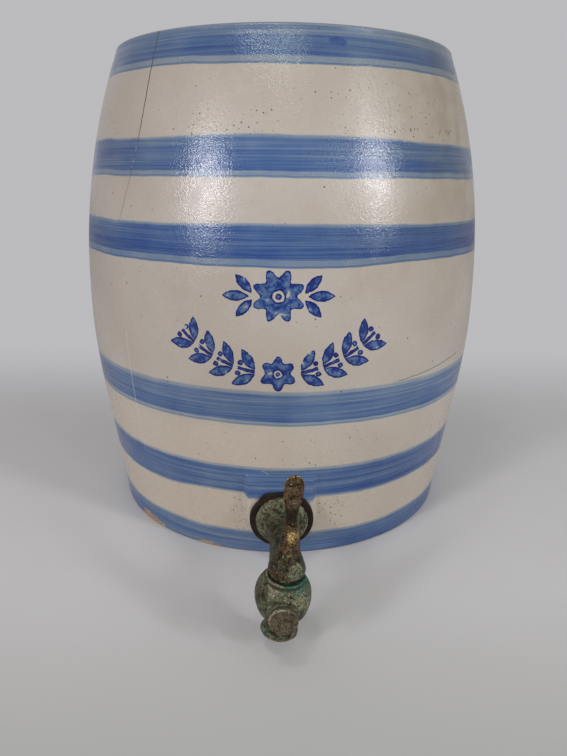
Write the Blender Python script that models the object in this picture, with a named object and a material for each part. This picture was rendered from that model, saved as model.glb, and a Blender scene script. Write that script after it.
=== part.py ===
"""Glazed stoneware water cooler: a barrel-shaped jar, its lid, and a self-closing lever tap.

The origin is the centre of the jar's flat base, +Z is up, and the tap looks towards -Y.
The tap's own pieces are measured forward of the pad that it is clamped to, and up from its shank's axis.
"""
import math

import bmesh
import bpy
import numpy as np
from mathutils import Matrix, Vector

MM = 0.001

# Fits that many pieces share
GAP = 0.3 * MM
OVERRUN = 4 * MM
FULL_TURN = 2 * math.pi
UPRIGHT = Matrix.Identity(4)
FORWARD = Matrix.Rotation(math.radians(90), 4, "X")
SIDEWAYS = Matrix.Rotation(math.radians(90), 4, "Y")

# Jar: a thrown barrel with its widest place a little below the middle
JAR_H = 332.3 * MM
BELLY_Z = 157.5 * MM
BELLY_R = 150 * MM
RIM_R = 119.1 * MM
FOOT_R = 132.8 * MM
RIM_LEAN = 0.41
FOOT_FLARE = 0.08
WALL = 13 * MM
FLOOR_T = 12 * MM
FOOT_ROUND = 2.5 * MM
FLOOR_CORNER_R = 10 * MM
RIM_LAND = 8.5 * MM
RIM_ROUND = 2.2 * MM
LEDGE_W = 7 * MM
LEDGE_DROP = 9 * MM
LEDGE_T = 6 * MM
LEDGE_SPLAY = 9 * MM
JAR_SIDES = 64
BELLY_STEPS = 6

# Pad on the jar's front, with the hole and the inside spot face for the tap: its face stands proud
# of the barrel all round the outer washer, and its root lies inside the wall
TAP_Z = 33.4 * MM
PAD_PROUD = 1.325 * MM
PAD_ROOT = 2 * MM
PAD_W = 45 * MM
PAD_TOP_Z = 64.5 * MM
PAD_ROUND = 1.3 * MM
PAD_ARC_STEPS = 15
HOLE_R = 9.5 * MM
SPOT_MARGIN = 2 * MM

# Lid: a disc on the rim's ledge, with a locating ring below and a low knob above
LID_CLEARANCE = 1.2 * MM
LID_T = 9 * MM
LID_CROWN = 2.5 * MM
LID_ROUND = 1.5 * MM
LID_RING_H = 5 * MM
LID_RING_W = 8 * MM
KNOB_R = 17 * MM
KNOB_NECK_R = 11 * MM
KNOB_H = 17 * MM
LID_SIDES = 48

# Tap casting: shank, flange, neck, bulb and spout in one piece
TAP_ROLL = math.radians(5.5)
SHANK_R = 8 * MM
THREAD_DEPTH = 0.7 * MM
THREAD_PITCH = 2 * MM
THREAD_RIDGES = 7
WATERWAY_R = 4 * MM
FLANGE_R = 17.45 * MM
FLANGE_T = 2.6 * MM
FLARE_L = 16 * MM
NECK_R = 8.1 * MM
STEM_REACH = 81.7 * MM
BULB_LAG = 3.8 * MM
BULB_R = 15.85 * MM
BULB_BACK = 14.5 * MM
BULB_FRONT = 21 * MM
BULB_STEPS = 11
FRONT_BOSS_REACH = 17 * MM
CHAMBER_R = 8.6 * MM
CHAMBER_BACK = 11.5 * MM
CHAMBER_FRONT = 10.3 * MM
SPOUT_R = 8.8 * MM
SPOUT_LIP_R = 10.7 * MM
SPOUT_LIP_T = 2 * MM
SPOUT_DROP = 22 * MM
SPOUT_BORE_R = 6 * MM
SPOUT_ROUND = 0.9 * MM
TOP_FLAT = 11 * MM
TOP_THREAD_R = 7.2 * MM
TAP_SIDES = 28
SPOUT_SIDES = 24

# Washers and nut that clamp the tap through the wall
OUTER_WASHER_R = 21.15 * MM
OUTER_WASHER_T = 2.7 * MM
INNER_WASHER_R = 15 * MM
INNER_WASHER_T = 2.5 * MM
METAL_WASHER_R = 14 * MM
METAL_WASHER_T = 1.5 * MM
NUT_ACROSS_FLATS = 25 * MM
NUT_T = 8 * MM
NUT_CHAMFER = 1.4 * MM
SHANK_PROUD = 4 * MM
RING_SIDES = 32

# Front cap, which closes the chamber and holds the spring
CAP_R = 7.75 * MM
CAP_HEAD_T = 2.7 * MM
CAP_ROUND = 0.5 * MM
CAP_SEAT_W = 1.15 * MM
CAP_FACE_T = 2.2 * MM
GASKET_T = 0.7 * MM
SMALL_SIDES = 24

# Valve: a seat bush, and a plunger with a rubber disc that a screw holds in a cup
SEAT_R = 5.2 * MM
SEAT_BORE_R = 3.2 * MM
SEAT_DEPTH = 3.4 * MM
SEAT_LIP_R = 4.3 * MM
SEAT_LIP_H = 1.2 * MM
DISC_R = 5 * MM
DISC_T = 2.3 * MM
CUP_WALL = 0.6 * MM
CUP_T = 1 * MM
SCREW_R = 1.2 * MM
SCREW_HEAD_R = 2.3 * MM
SCREW_HEAD_T = 1.2 * MM
SCREW_BITE = 2.2 * MM
PLUNGER_R = 4.1 * MM
PLUNGER_REACH = 12.3 * MM
SPRING_WELL_BOTTOM = 4.5 * MM
SLOT_W = 4.4 * MM
SLOT_L = 5.8 * MM

# Return spring
SPRING_R = 2.3 * MM
SPRING_WIRE = 0.8 * MM
SPRING_CLEARANCE = 0.4 * MM
SPRING_TURNS = 8
SPRING_TURN_POINTS = 10

# Bonnet and lever: the lever turns on a pin across the bonnet's dome
PIVOT_H = 16.4 * MM
LEVER_TRAVEL = math.radians(12)
BONNET_FLANGE_R = 10.9 * MM
BONNET_FLANGE_T = 1.9 * MM
BONNET_DOME_R = 9 * MM
BONNET_BORE_R = 5 * MM
CHEEK_GAP = 5.2 * MM
CHEEK_SLOT_L = 11.4 * MM
PIN_R = 1.2 * MM
BELL_SKIRT_T = 0.9 * MM
BELL_H = 14.2 * MM
BELL_EDGE_H = 1 * MM
HUB_R = 3.3 * MM
HUB_W = 4.6 * MM
STEM_W = 4.2 * MM
STEM_L = 4.8 * MM
FINGER_R = 1.8 * MM
FINGER_PAST_AXIS = 1.8 * MM
ARM_BACK = 28.7 * MM
ARM_RISE = 43 * MM
ARM_ASIDE = 1.3 * MM
PADDLE_W = 11.8 * MM
PADDLE_T = 3.2 * MM
ARM_STEPS = 20
ARM_SIDES = 14

# The lever arm's spine, as shares of its reach back and of its rise from the pin
arm_spine_shares = [(0.0, 0.25), (0.05, 0.33), (0.17, 0.41), (0.35, 0.485), (0.54, 0.56), (0.70, 0.66),
                    (0.83, 0.78), (0.92, 0.89), (0.97, 0.96), (1.0, 1.0)]
# The arm's half width and half thickness along the spine, as shares of the paddle's
arm_width_shares = [1.02, 0.97, 0.85, 0.71, 0.60, 0.72, 0.97, 1.0, 0.78, 0.30]
arm_thickness_shares = [3.3, 3.1, 2.7, 2.2, 1.8, 1.25, 1.0, 0.95, 0.85, 0.5]
# The bell's outside above its skirt, as shares of the skirt's radius and of the bell's height
bell_outline_shares = [(1.0, 0.21), (0.93, 0.35), (0.85, 0.49), (0.75, 0.66), (0.65, 0.83), (0.57, 0.93),
                       (0.44, 0.985)]
# The flange's trumpet, as shares of the way out from the neck and of the flare's length
flare_outline_shares = [(0.80, 0.07), (0.46, 0.19), (0.20, 0.38), (0.06, 0.68), (0.0, 1.0)]
# Where the bulb starts, as a share of the neck's radius
neck_overlap_share = 1.06
# The finger's flat tip, as a share of its radius
finger_tip_share = 0.7
# The knob's outline, as shares of its radius and of its height
knob_outline_shares = [(0.92, 0.42), (1.0, 0.62), (0.90, 0.85), (0.55, 0.97), (0.0, 1.0)]

# Colours, as linear red, green and blue, with metallic and roughness
GLAZE = ((0.43, 0.38, 0.33), 0.0, 0.25)
BRONZE = ((0.13, 0.12, 0.07), 0.8, 0.5)
CAP_BRONZE = ((0.12, 0.09, 0.06), 0.7, 0.55)
LEVER_BRONZE = ((0.14, 0.09, 0.045), 0.6, 0.55)
BRASS = ((0.42, 0.29, 0.11), 1.0, 0.4)
STEEL = ((0.45, 0.44, 0.42), 1.0, 0.35)
BLACK_RUBBER = ((0.02, 0.018, 0.016), 0.0, 0.8)
RED_RUBBER = ((0.16, 0.05, 0.035), 0.0, 0.8)
FIBRE = ((0.2, 0.12, 0.07), 0.0, 0.85)


# Helpers

def clear_scene():
    for old in list(bpy.data.objects):
        bpy.data.objects.remove(old, do_unlink=True)


def finish_material(obj, look):
    colour, metallic, roughness = look
    material = bpy.data.materials.new(obj.name)
    material.use_nodes = True
    shader = material.node_tree.nodes["Principled BSDF"]
    shader.inputs["Base Color"].default_value = (*colour, 1)
    shader.inputs["Metallic"].default_value = metallic
    shader.inputs["Roughness"].default_value = roughness
    obj.data.materials.append(material)


def add_object(name, data, look=None, parent=None, matrix=UPRIGHT):
    """Link one object. With no look it is a cutter, which is hidden and drawn as wire."""
    obj = bpy.data.objects.new(name, data)
    bpy.context.scene.collection.objects.link(obj)
    obj.parent = parent
    obj.matrix_local = matrix
    if look is None:
        obj.hide_render = True
        obj.display_type = "WIRE"
    else:
        finish_material(obj, look)
    return obj


def mesh_from(bm, name):
    bmesh.ops.recalc_face_normals(bm, faces=bm.faces)
    mesh = bpy.data.meshes.new(name)
    bm.to_mesh(mesh)
    bm.free()
    mesh.shade_smooth()
    mesh.set_sharp_from_angle(angle=math.radians(35))
    return mesh


def turned_mesh(name, outline, sides, matrix=UPRIGHT):
    """Spin a closed outline of (radius, height) points about Z. Edges that lie on the axis make no face."""
    bm = bmesh.new()
    corners = [bm.verts.new((radius, 0, height)) for radius, height in outline]
    pairs = [(corners[i - 1], corners[i]) for i in range(len(corners))]
    edges = [bm.edges.new(pair) for pair in pairs if pair[0].co.x + pair[1].co.x > GAP / 100]
    bmesh.ops.spin(bm, geom=corners + edges, cent=(0, 0, 0), axis=(0, 0, 1), angle=FULL_TURN,
                   steps=sides, use_merge=True)
    bmesh.ops.remove_doubles(bm, verts=bm.verts, dist=GAP / 100)
    bmesh.ops.dissolve_degenerate(bm, edges=bm.edges, dist=GAP / 100)
    bmesh.ops.transform(bm, matrix=matrix, verts=bm.verts)
    return mesh_from(bm, name)


def turned(name, outline, sides, look=None, parent=None, place=UPRIGHT, turn=UPRIGHT):
    return add_object(name, turned_mesh(name, outline, sides, turn), look, parent, place)


def part_of_a_side(sides, share):
    """A small turn about a cutter's own axis, so that its sides' edges don't meet its neighbours'."""
    return Matrix.Rotation(FULL_TURN / sides * share, 4, "Z")


def ring_outline(inner, outer, low, high, edge=0.0):
    """A washer's outline, with its outer corners cut by edge."""
    if edge == 0:
        return [(inner, low), (outer, low), (outer, high), (inner, high)]
    return [(inner, low), (outer - edge, low), (outer, low + edge), (outer, high - edge),
            (outer - edge, high), (inner, high)]


def block_mesh(name, low, high):
    """A box between two corners."""
    bm = bmesh.new()
    bmesh.ops.create_cube(bm, size=1)
    size = Vector(high) - Vector(low)
    middle = (Vector(high) + Vector(low)) / 2
    bmesh.ops.scale(bm, vec=size, verts=bm.verts)
    bmesh.ops.translate(bm, vec=middle, verts=bm.verts)
    return mesh_from(bm, name)


def boolean(obj, other, operation):
    modifier = obj.modifiers.new(other.name, "BOOLEAN")
    modifier.operation = operation
    modifier.solver = "EXACT"
    modifier.object = other


def arc(centre, radius, start_deg, end_deg, steps):
    """Points of an arc in the outline's plane, from one angle to the other."""
    angles = np.radians(np.linspace(start_deg, end_deg, steps + 1))
    return [(centre[0] + radius * math.cos(a), centre[1] + radius * math.sin(a)) for a in angles]


def smooth_through(points, steps):
    """A Catmull-Rom curve through rows of numbers, with even steps along the rows."""
    rows = np.array(points)
    ends = np.vstack([2 * rows[0] - rows[1], rows, 2 * rows[-1] - rows[-2]])
    curve = []
    for at in np.linspace(0, len(rows) - 1, steps + 1):
        i = min(int(at), len(rows) - 2)
        t = at - i
        a, b, c, d = ends[i:i + 4]
        curve.append(0.5 * (2 * b + (c - a) * t + (2 * a - 5 * b + 4 * c - d) * t ** 2
                            + (3 * b - a - 3 * c + d) * t ** 3))
    return curve


# Jar

def outer_radius(z):
    """The barrel's outside: two cubic arcs that meet, upright, at the belly."""
    if z < BELLY_Z:
        t = z / BELLY_Z
        blend = 3 * t ** 2 - 2 * t ** 3
        return FOOT_R + (BELLY_R - FOOT_R) * blend + FOOT_FLARE * BELLY_Z * t * (1 - t) ** 2
    t = (z - BELLY_Z) / (JAR_H - BELLY_Z)
    blend = 3 * t ** 2 - 2 * t ** 3
    return BELLY_R + (RIM_R - BELLY_R) * blend + RIM_LEAN * (JAR_H - BELLY_Z) * t ** 2 * (1 - t)


ledge_z = JAR_H - LEDGE_DROP
ledge_outer_r = RIM_R - RIM_LAND
ledge_inner_r = ledge_outer_r - LEDGE_W
pad_half = PAD_W / 2
pad_y = max(outer_radius(TAP_Z - OUTER_WASHER_R), outer_radius(TAP_Z + OUTER_WASHER_R)) + PAD_PROUD
pad_root_r = min(outer_radius(TAP_Z - pad_half), outer_radius(PAD_TOP_Z))
pad_root_y = math.sqrt(pad_root_r ** 2 - pad_half ** 2) - PAD_ROOT
spot_r = INNER_WASHER_R + SPOT_MARGIN
spot_y = outer_radius(TAP_Z + spot_r) - WALL + GAP
wall_at_tap = pad_y - spot_y


def jar_outline():
    """One closed outline: base, outside, rim, lid ledge, inside and floor."""
    outside = [(0.0, 0.0), (FOOT_R - FOOT_ROUND, 0.0)]
    for z in np.linspace(FOOT_ROUND, BELLY_Z, BELLY_STEPS + 1):
        outside.append((outer_radius(z), z))
    for z in np.linspace(BELLY_Z, JAR_H - RIM_ROUND, BELLY_STEPS + 2)[1:]:
        outside.append((outer_radius(z), z))
    outside += arc((RIM_R - RIM_ROUND, JAR_H - RIM_ROUND), RIM_ROUND, 45, 90, 2)
    rim = arc((ledge_outer_r + RIM_ROUND, JAR_H - RIM_ROUND), RIM_ROUND, 90, 180, 2)
    rim += [(ledge_outer_r, ledge_z), (ledge_inner_r, ledge_z), (ledge_inner_r, ledge_z - LEDGE_T)]
    wall_top = ledge_z - LEDGE_T - LEDGE_SPLAY
    inside = [(outer_radius(z) - WALL, z)
              for z in np.linspace(wall_top, FLOOR_T + FLOOR_CORNER_R, BELLY_STEPS + 1)]
    corner = (inside[-1][0] - FLOOR_CORNER_R, FLOOR_T + FLOOR_CORNER_R)
    inside += arc(corner, FLOOR_CORNER_R, 0, -90, 3)[1:] + [(0.0, FLOOR_T)]
    return outside + rim + inside


def pad_mesh():
    """A flat pad, round below the tap and square above it, with its front edge eased."""
    loops = [(0.0, pad_root_y), (0.0, pad_y - PAD_ROUND), (PAD_ROUND, pad_y)]
    bm = bmesh.new()
    rings = []
    for inset, forward in loops:
        half = pad_half - inset
        outline = arc((0, TAP_Z), half, -180, 0, PAD_ARC_STEPS)
        outline += [(half, PAD_TOP_Z - inset), (-half, PAD_TOP_Z - inset)]
        rings.append([bm.verts.new((x, -forward, z)) for x, z in outline])
    count = len(rings[0])
    for back, front in zip(rings, rings[1:]):
        for i in range(count):
            bm.faces.new((back[i], back[i - 1], front[i - 1], front[i]))
    bm.faces.new(rings[0])
    bm.faces.new(rings[-1])
    return mesh_from(bm, "pad_block")


def make_jar():
    jar = turned("jar_body", jar_outline(), JAR_SIDES, GLAZE)
    boolean(jar, add_object("pad_block", pad_mesh()), "UNION")
    at_tap = Matrix.Translation((0, 0, TAP_Z))
    hole_turn = FORWARD @ part_of_a_side(RING_SIDES, 1 / 4)
    spot_turn = FORWARD @ part_of_a_side(RING_SIDES, 1 / 2)
    hole = ring_outline(0.0, HOLE_R, spot_y - WALL, pad_y + OVERRUN)
    boolean(jar, turned("tap_hole", hole, RING_SIDES, place=at_tap, turn=hole_turn), "DIFFERENCE")
    spot = ring_outline(0.0, spot_r, spot_y - 2 * WALL, spot_y)
    boolean(jar, turned("spot_face", spot, RING_SIDES, place=at_tap, turn=spot_turn), "DIFFERENCE")


def make_lid():
    """The lid hangs on the ledge by its edge, its ring just inside the mouth."""
    low = ledge_z + GAP
    high = low + LID_T
    edge_r = ledge_outer_r - LID_CLEARANCE
    ring_r = ledge_inner_r - LID_CLEARANCE
    top = high + LID_CROWN
    outline = [(0.0, low), (ring_r - LID_RING_W, low), (ring_r - LID_RING_W, low - LID_RING_H),
               (ring_r, low - LID_RING_H), (ring_r, low), (edge_r, low), (edge_r, high - LID_ROUND),
               (edge_r - LID_ROUND, high)]
    crown_steps = 4
    for step in range(1, crown_steps):
        share = step / crown_steps
        outline.append((edge_r + (KNOB_NECK_R - edge_r) * share, high + LID_CROWN * (1 - (1 - share) ** 2)))
    outline.append((KNOB_NECK_R, top))
    outline += [(KNOB_R * across, top + KNOB_H * up) for across, up in knob_outline_shares]
    turned("lid", outline, LID_SIDES, GLAZE)


# Tap stations, measured forward from the pad's face

flange_back = OUTER_WASHER_T + 2 * GAP
inner_washer_s = -wall_at_tap - GAP
metal_washer_s = inner_washer_s - INNER_WASHER_T - GAP
nut_s = metal_washer_s - METAL_WASHER_T - GAP
shank_end = nut_s - NUT_T - SHANK_PROUD
bulb_reach = STEM_REACH - BULB_LAG
boss_face = STEM_REACH + FRONT_BOSS_REACH
front_thread_r = CAP_R - CAP_SEAT_W
chamber_back = STEM_REACH - CHAMBER_BACK
chamber_front = STEM_REACH + CHAMBER_FRONT
seat_back = chamber_back - SEAT_DEPTH
seat_lip = chamber_back + SEAT_LIP_H
disc_back = seat_lip + GAP
disc_front = disc_back + DISC_T
spring_well_r = SPRING_R + SPRING_WIRE / 2 + SPRING_CLEARANCE
cap_bore_r = PLUNGER_R + GAP
cup_back = disc_front + GAP
cup_front = cup_back + CUP_T
cup_r = DISC_R + GAP + CUP_WALL
plunger_back = cup_front + GAP
cap_head = boss_face + GASKET_T + 2 * GAP
cap_face = cap_head + CAP_HEAD_T
spring_end = cap_face - CAP_FACE_T
bonnet_s = STEM_REACH
bonnet_flange_h = TOP_FLAT + GASKET_T + 2 * GAP


def bulb_points(steps):
    """Half an egg from the neck to the front boss, widest at the bulb's own station."""
    first = math.pi - math.asin(neck_overlap_share * NECK_R / BULB_R)
    last = math.asin(CAP_R / BULB_R)
    points = []
    for a in np.linspace(first, last, steps + 1):
        length = BULB_BACK if a > math.pi / 2 else BULB_FRONT
        points.append((BULB_R * math.sin(a), bulb_reach + length * math.cos(a)))
    return points


def casting_outline():
    """Shank with thread ridges, flange, trumpet, neck, bulb and front boss, then the stepped bore."""
    outline = [(SHANK_R - THREAD_DEPTH, shank_end)]
    for ridge in range(THREAD_RIDGES):
        crest = shank_end + THREAD_PITCH * ridge + THREAD_PITCH / 2
        outline += [(SHANK_R, crest), (SHANK_R - THREAD_DEPTH, crest + THREAD_PITCH / 2)]
    thread_end = shank_end + THREAD_PITCH * THREAD_RIDGES + THREAD_PITCH / 2
    outline += [(SHANK_R, thread_end), (SHANK_R, flange_back)]
    rim_edge = FLANGE_T / 4
    outline += [(FLANGE_R - rim_edge, flange_back), (FLANGE_R, flange_back + rim_edge),
                (FLANGE_R, flange_back + FLANGE_T - rim_edge), (FLANGE_R - rim_edge, flange_back + FLANGE_T)]
    for out, along in flare_outline_shares:
        outline.append((NECK_R + (FLANGE_R - NECK_R) * out, flange_back + FLANGE_T + FLARE_L * along))
    outline.append((NECK_R, bulb_reach - BULB_BACK))
    outline += bulb_points(BULB_STEPS)
    outline += [(CAP_R, boss_face), (front_thread_r, boss_face), (front_thread_r, chamber_front),
                (CHAMBER_R, chamber_front), (CHAMBER_R, chamber_back), (SEAT_R + GAP, chamber_back),
                (SEAT_R + GAP, seat_back - GAP), (WATERWAY_R, seat_back - GAP), (WATERWAY_R, shank_end)]
    return outline


def make_tap_body(tap):
    """The casting with its spout, bore and threaded top. Their sides are turned so that no edges meet."""
    body = turned("tap_body", casting_outline(), TAP_SIDES, BRONZE, tap, turn=FORWARD)
    below_bulb = Matrix.Translation((0, -STEM_REACH, 0))
    half_turned = below_bulb @ part_of_a_side(SPOUT_SIDES, 1 / 2)
    root = -(CHAMBER_R + BULB_R) / 2
    lip_top = -SPOUT_DROP + SPOUT_LIP_T
    outline = [(0.0, root), (SPOUT_R, root), (SPOUT_R, lip_top + SPOUT_LIP_T),
               (SPOUT_LIP_R - SPOUT_ROUND, lip_top), (SPOUT_LIP_R, lip_top - SPOUT_ROUND),
               (SPOUT_LIP_R, -SPOUT_DROP + SPOUT_ROUND),
               (SPOUT_LIP_R - SPOUT_ROUND, -SPOUT_DROP), (0.0, -SPOUT_DROP)]
    boolean(body, turned("spout", outline, SPOUT_SIDES, parent=tap, place=half_turned), "UNION")
    bore = turned("spout_bore", [(0.0, -SPOUT_DROP - OVERRUN), (SPOUT_BORE_R, -SPOUT_DROP - OVERRUN),
                                 (SPOUT_BORE_R, -CHAMBER_R / 2), (0.0, -CHAMBER_R / 2)],
                  SPOUT_SIDES, parent=tap, place=below_bulb @ part_of_a_side(SPOUT_SIDES, 1 / 4))
    boolean(body, bore, "DIFFERENCE")
    above = BULB_R + OVERRUN
    top = turned("top_cut", [(0.0, CHAMBER_R / 2), (TOP_THREAD_R, CHAMBER_R / 2), (TOP_THREAD_R, TOP_FLAT),
                             (BULB_R, TOP_FLAT), (BULB_R, above), (0.0, above)],
                 SPOUT_SIDES, parent=tap, place=half_turned)
    boolean(body, top, "DIFFERENCE")


def forward_ring(tap, name, look, outline, sides=RING_SIDES):
    return turned(name, outline, sides, look, tap, turn=FORWARD)


def make_clamp(tap):
    shank_hole = SHANK_R + GAP
    forward_ring(tap, "outer_washer", BLACK_RUBBER,
                 ring_outline(shank_hole, OUTER_WASHER_R, GAP, GAP + OUTER_WASHER_T, OUTER_WASHER_T / 5))
    forward_ring(tap, "inner_washer", BLACK_RUBBER,
                 ring_outline(shank_hole, INNER_WASHER_R, inner_washer_s - INNER_WASHER_T, inner_washer_s))
    forward_ring(tap, "metal_washer", BRASS,
                 ring_outline(shank_hole, METAL_WASHER_R, metal_washer_s - METAL_WASHER_T, metal_washer_s))
    corner_r = NUT_ACROSS_FLATS / 2 / math.cos(math.radians(30))
    face_r = NUT_ACROSS_FLATS / 2
    hexagon = [(0.0, nut_s - NUT_T), (corner_r, nut_s - NUT_T), (corner_r, nut_s), (0.0, nut_s)]
    nut = turned("lock_nut", hexagon, 6, BRASS, tap, turn=FORWARD)
    chamfer_r = corner_r + NUT_CHAMFER
    slope = (chamfer_r - face_r) / (2 * NUT_CHAMFER)
    chamfer = [(0.0, nut_s - NUT_T - OVERRUN), (face_r - OVERRUN * slope, nut_s - NUT_T - OVERRUN),
               (chamfer_r, nut_s - NUT_T + 2 * NUT_CHAMFER), (chamfer_r, nut_s + OVERRUN), (0.0, nut_s + OVERRUN)]
    chamfer_turn = FORWARD @ part_of_a_side(RING_SIDES, 1 / 4)
    boolean(nut, turned("nut_chamfer", chamfer, RING_SIDES, parent=tap, turn=chamfer_turn), "INTERSECT")
    bore = ring_outline(0.0, shank_hole, nut_s - NUT_T - OVERRUN, nut_s + OVERRUN)
    bore_turn = FORWARD @ part_of_a_side(RING_SIDES, 1 / 2)
    boolean(nut, turned("nut_bore", bore, RING_SIDES, parent=tap, turn=bore_turn), "DIFFERENCE")


def make_front_cap(tap):
    forward_ring(tap, "front_cap_gasket", FIBRE,
                 ring_outline(front_thread_r, CAP_R, boss_face + GAP, boss_face + GAP + GASKET_T),
                 SMALL_SIDES)
    outline = [(cap_bore_r, chamber_front + GAP), (front_thread_r - GAP, chamber_front + GAP),
               (front_thread_r - GAP, cap_head), (CAP_R, cap_head), (CAP_R, cap_face - CAP_ROUND),
               (CAP_R - CAP_ROUND, cap_face), (0.0, cap_face), (0.0, spring_end), (cap_bore_r, spring_end)]
    forward_ring(tap, "front_cap", CAP_BRONZE, outline, TAP_SIDES)


def make_seat(tap):
    outline = [(SEAT_BORE_R, seat_back), (SEAT_R, seat_back), (SEAT_R, chamber_back),
               (SEAT_LIP_R, chamber_back), (SEAT_LIP_R - GAP, seat_lip), (SEAT_BORE_R, seat_lip)]
    forward_ring(tap, "valve_seat", BRASS, outline, SMALL_SIDES)


def make_plunger(tap):
    slide = bpy.data.objects.new("plunger_slide", None)
    bpy.context.scene.collection.objects.link(slide)
    slide.parent = tap
    slide.matrix_local = Matrix.Translation((0, -STEM_REACH, 0))

    def along(outline):
        return [(radius, station - STEM_REACH) for radius, station in outline]

    screw_hole = SCREW_R + GAP
    reach = STEM_REACH + PLUNGER_REACH
    well = STEM_REACH + SPRING_WELL_BOTTOM
    screw_tip = plunger_back + SCREW_BITE
    outline = [(screw_hole, plunger_back), (PLUNGER_R, plunger_back), (PLUNGER_R, reach),
               (spring_well_r, reach), (spring_well_r, well), (0.0, well), (0.0, screw_tip + GAP),
               (screw_hole, screw_tip + GAP)]
    plunger = turned("plunger", along(outline), SMALL_SIDES, BRASS, slide, turn=FORWARD)
    slot_block = block_mesh("finger_slot", (-SLOT_W / 2, -SLOT_L / 2, -CHAMBER_R),
                            (SLOT_W / 2, SLOT_L / 2, CHAMBER_R))
    slot = add_object("finger_slot", slot_block, parent=slide)
    boolean(plunger, slot, "DIFFERENCE")
    cup_lip = disc_front - DISC_T / 2
    cup = [(screw_hole, cup_back), (DISC_R + GAP, cup_back), (DISC_R + GAP, cup_lip), (cup_r, cup_lip),
           (cup_r, cup_front), (screw_hole, cup_front)]
    turned("disc_cup", along(cup), SMALL_SIDES, BRASS, slide, turn=FORWARD)
    disc = ring_outline(screw_hole, DISC_R, disc_back, disc_front)
    turned("valve_disc", along(disc), SMALL_SIDES, RED_RUBBER, slide, turn=FORWARD)
    screw = [(0.0, seat_lip - SCREW_HEAD_T), (SCREW_HEAD_R, seat_lip - SCREW_HEAD_T),
             (SCREW_HEAD_R, seat_lip), (SCREW_R, seat_lip), (SCREW_R, screw_tip), (0.0, screw_tip)]
    turned("disc_screw", along(screw), SMALL_SIDES, STEEL, slide, turn=FORWARD)


def make_spring(tap):
    """A helix about the tap's axis: it starts on the well's bottom and ends on the cap."""
    start = STEM_REACH + SPRING_WELL_BOTTOM + GAP + SPRING_WIRE / 2
    end = spring_end - GAP - SPRING_WIRE / 2
    turn = np.linspace(0, SPRING_TURNS, SPRING_TURNS * SPRING_TURN_POINTS + 1)
    angle = FULL_TURN * turn
    points = np.column_stack([SPRING_R * np.cos(angle), -(start + (end - start) * turn / SPRING_TURNS),
                              SPRING_R * np.sin(angle)])
    curve = bpy.data.curves.new("return_spring", "CURVE")
    curve.dimensions = "3D"
    curve.bevel_depth = SPRING_WIRE / 2
    curve.bevel_resolution = 1
    curve.use_fill_caps = True
    spline = curve.splines.new("POLY")
    spline.points.add(len(points) - 1)
    for spot, point in zip(spline.points, points):
        spot.co = (*point, 1)
    add_object("return_spring", curve, STEEL, tap)
    pairs = [(i, j) for i in range(len(points)) for j in range(i + SPRING_TURN_POINTS // 2, len(points))]
    least = min(np.linalg.norm(points[i] - points[j]) for i, j in pairs) - SPRING_WIRE
    print("return spring: least gap to itself %.2f mm" % (least / MM))


def make_bonnet(tap):
    """A screwed plug with a flange and a dome about the pin, slotted for the lever."""
    place = Matrix.Translation((0, -bonnet_s, 0))
    turned("bonnet_gasket", ring_outline(TOP_THREAD_R, BONNET_FLANGE_R - GAP, TOP_FLAT + GAP,
                                         TOP_FLAT + GAP + GASKET_T), RING_SIDES, FIBRE, tap, place)
    low = cup_r + 2 * GAP
    flange_top = bonnet_flange_h + BONNET_FLANGE_T
    edge = BONNET_FLANGE_T / 4
    ceiling = PIVOT_H - HUB_R - GAP
    outline = [(BONNET_BORE_R, low), (TOP_THREAD_R - GAP, low), (TOP_THREAD_R - GAP, bonnet_flange_h),
               (BONNET_FLANGE_R - edge, bonnet_flange_h), (BONNET_FLANGE_R, bonnet_flange_h + edge),
               (BONNET_FLANGE_R, flange_top - edge), (BONNET_FLANGE_R - edge, flange_top),
               (BONNET_DOME_R, flange_top)]
    outline += arc((0, PIVOT_H), BONNET_DOME_R, 0, 90, 6)
    outline += [(0.0, ceiling), (BONNET_BORE_R, ceiling)]
    bonnet = turned("bonnet", outline, TAP_SIDES, BRONZE, tap, place)
    slot_block = block_mesh("lever_slot", (-CHEEK_GAP / 2, -CHEEK_SLOT_L / 2, ceiling - GAP),
                            (CHEEK_GAP / 2, CHEEK_SLOT_L / 2, PIVOT_H + 2 * BONNET_DOME_R))
    slot = add_object("lever_slot", slot_block, parent=tap, matrix=place)
    boolean(bonnet, slot, "DIFFERENCE")
    hole_reach = BONNET_DOME_R + OVERRUN
    hole = turned("pin_hole", ring_outline(0.0, PIN_R + GAP, -hole_reach, hole_reach), SMALL_SIDES,
                  parent=tap, place=Matrix.Translation((0, -bonnet_s, PIVOT_H)),
                  turn=SIDEWAYS @ part_of_a_side(SMALL_SIDES, 1 / 4))
    boolean(bonnet, hole, "DIFFERENCE")
    pin_reach = BONNET_DOME_R - GAP
    turned("lever_pin", ring_outline(0.0, PIN_R, -pin_reach, pin_reach, PIN_R / 4), SMALL_SIDES, STEEL,
           tap, Matrix.Translation((0, -bonnet_s, PIVOT_H)), SIDEWAYS)


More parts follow.
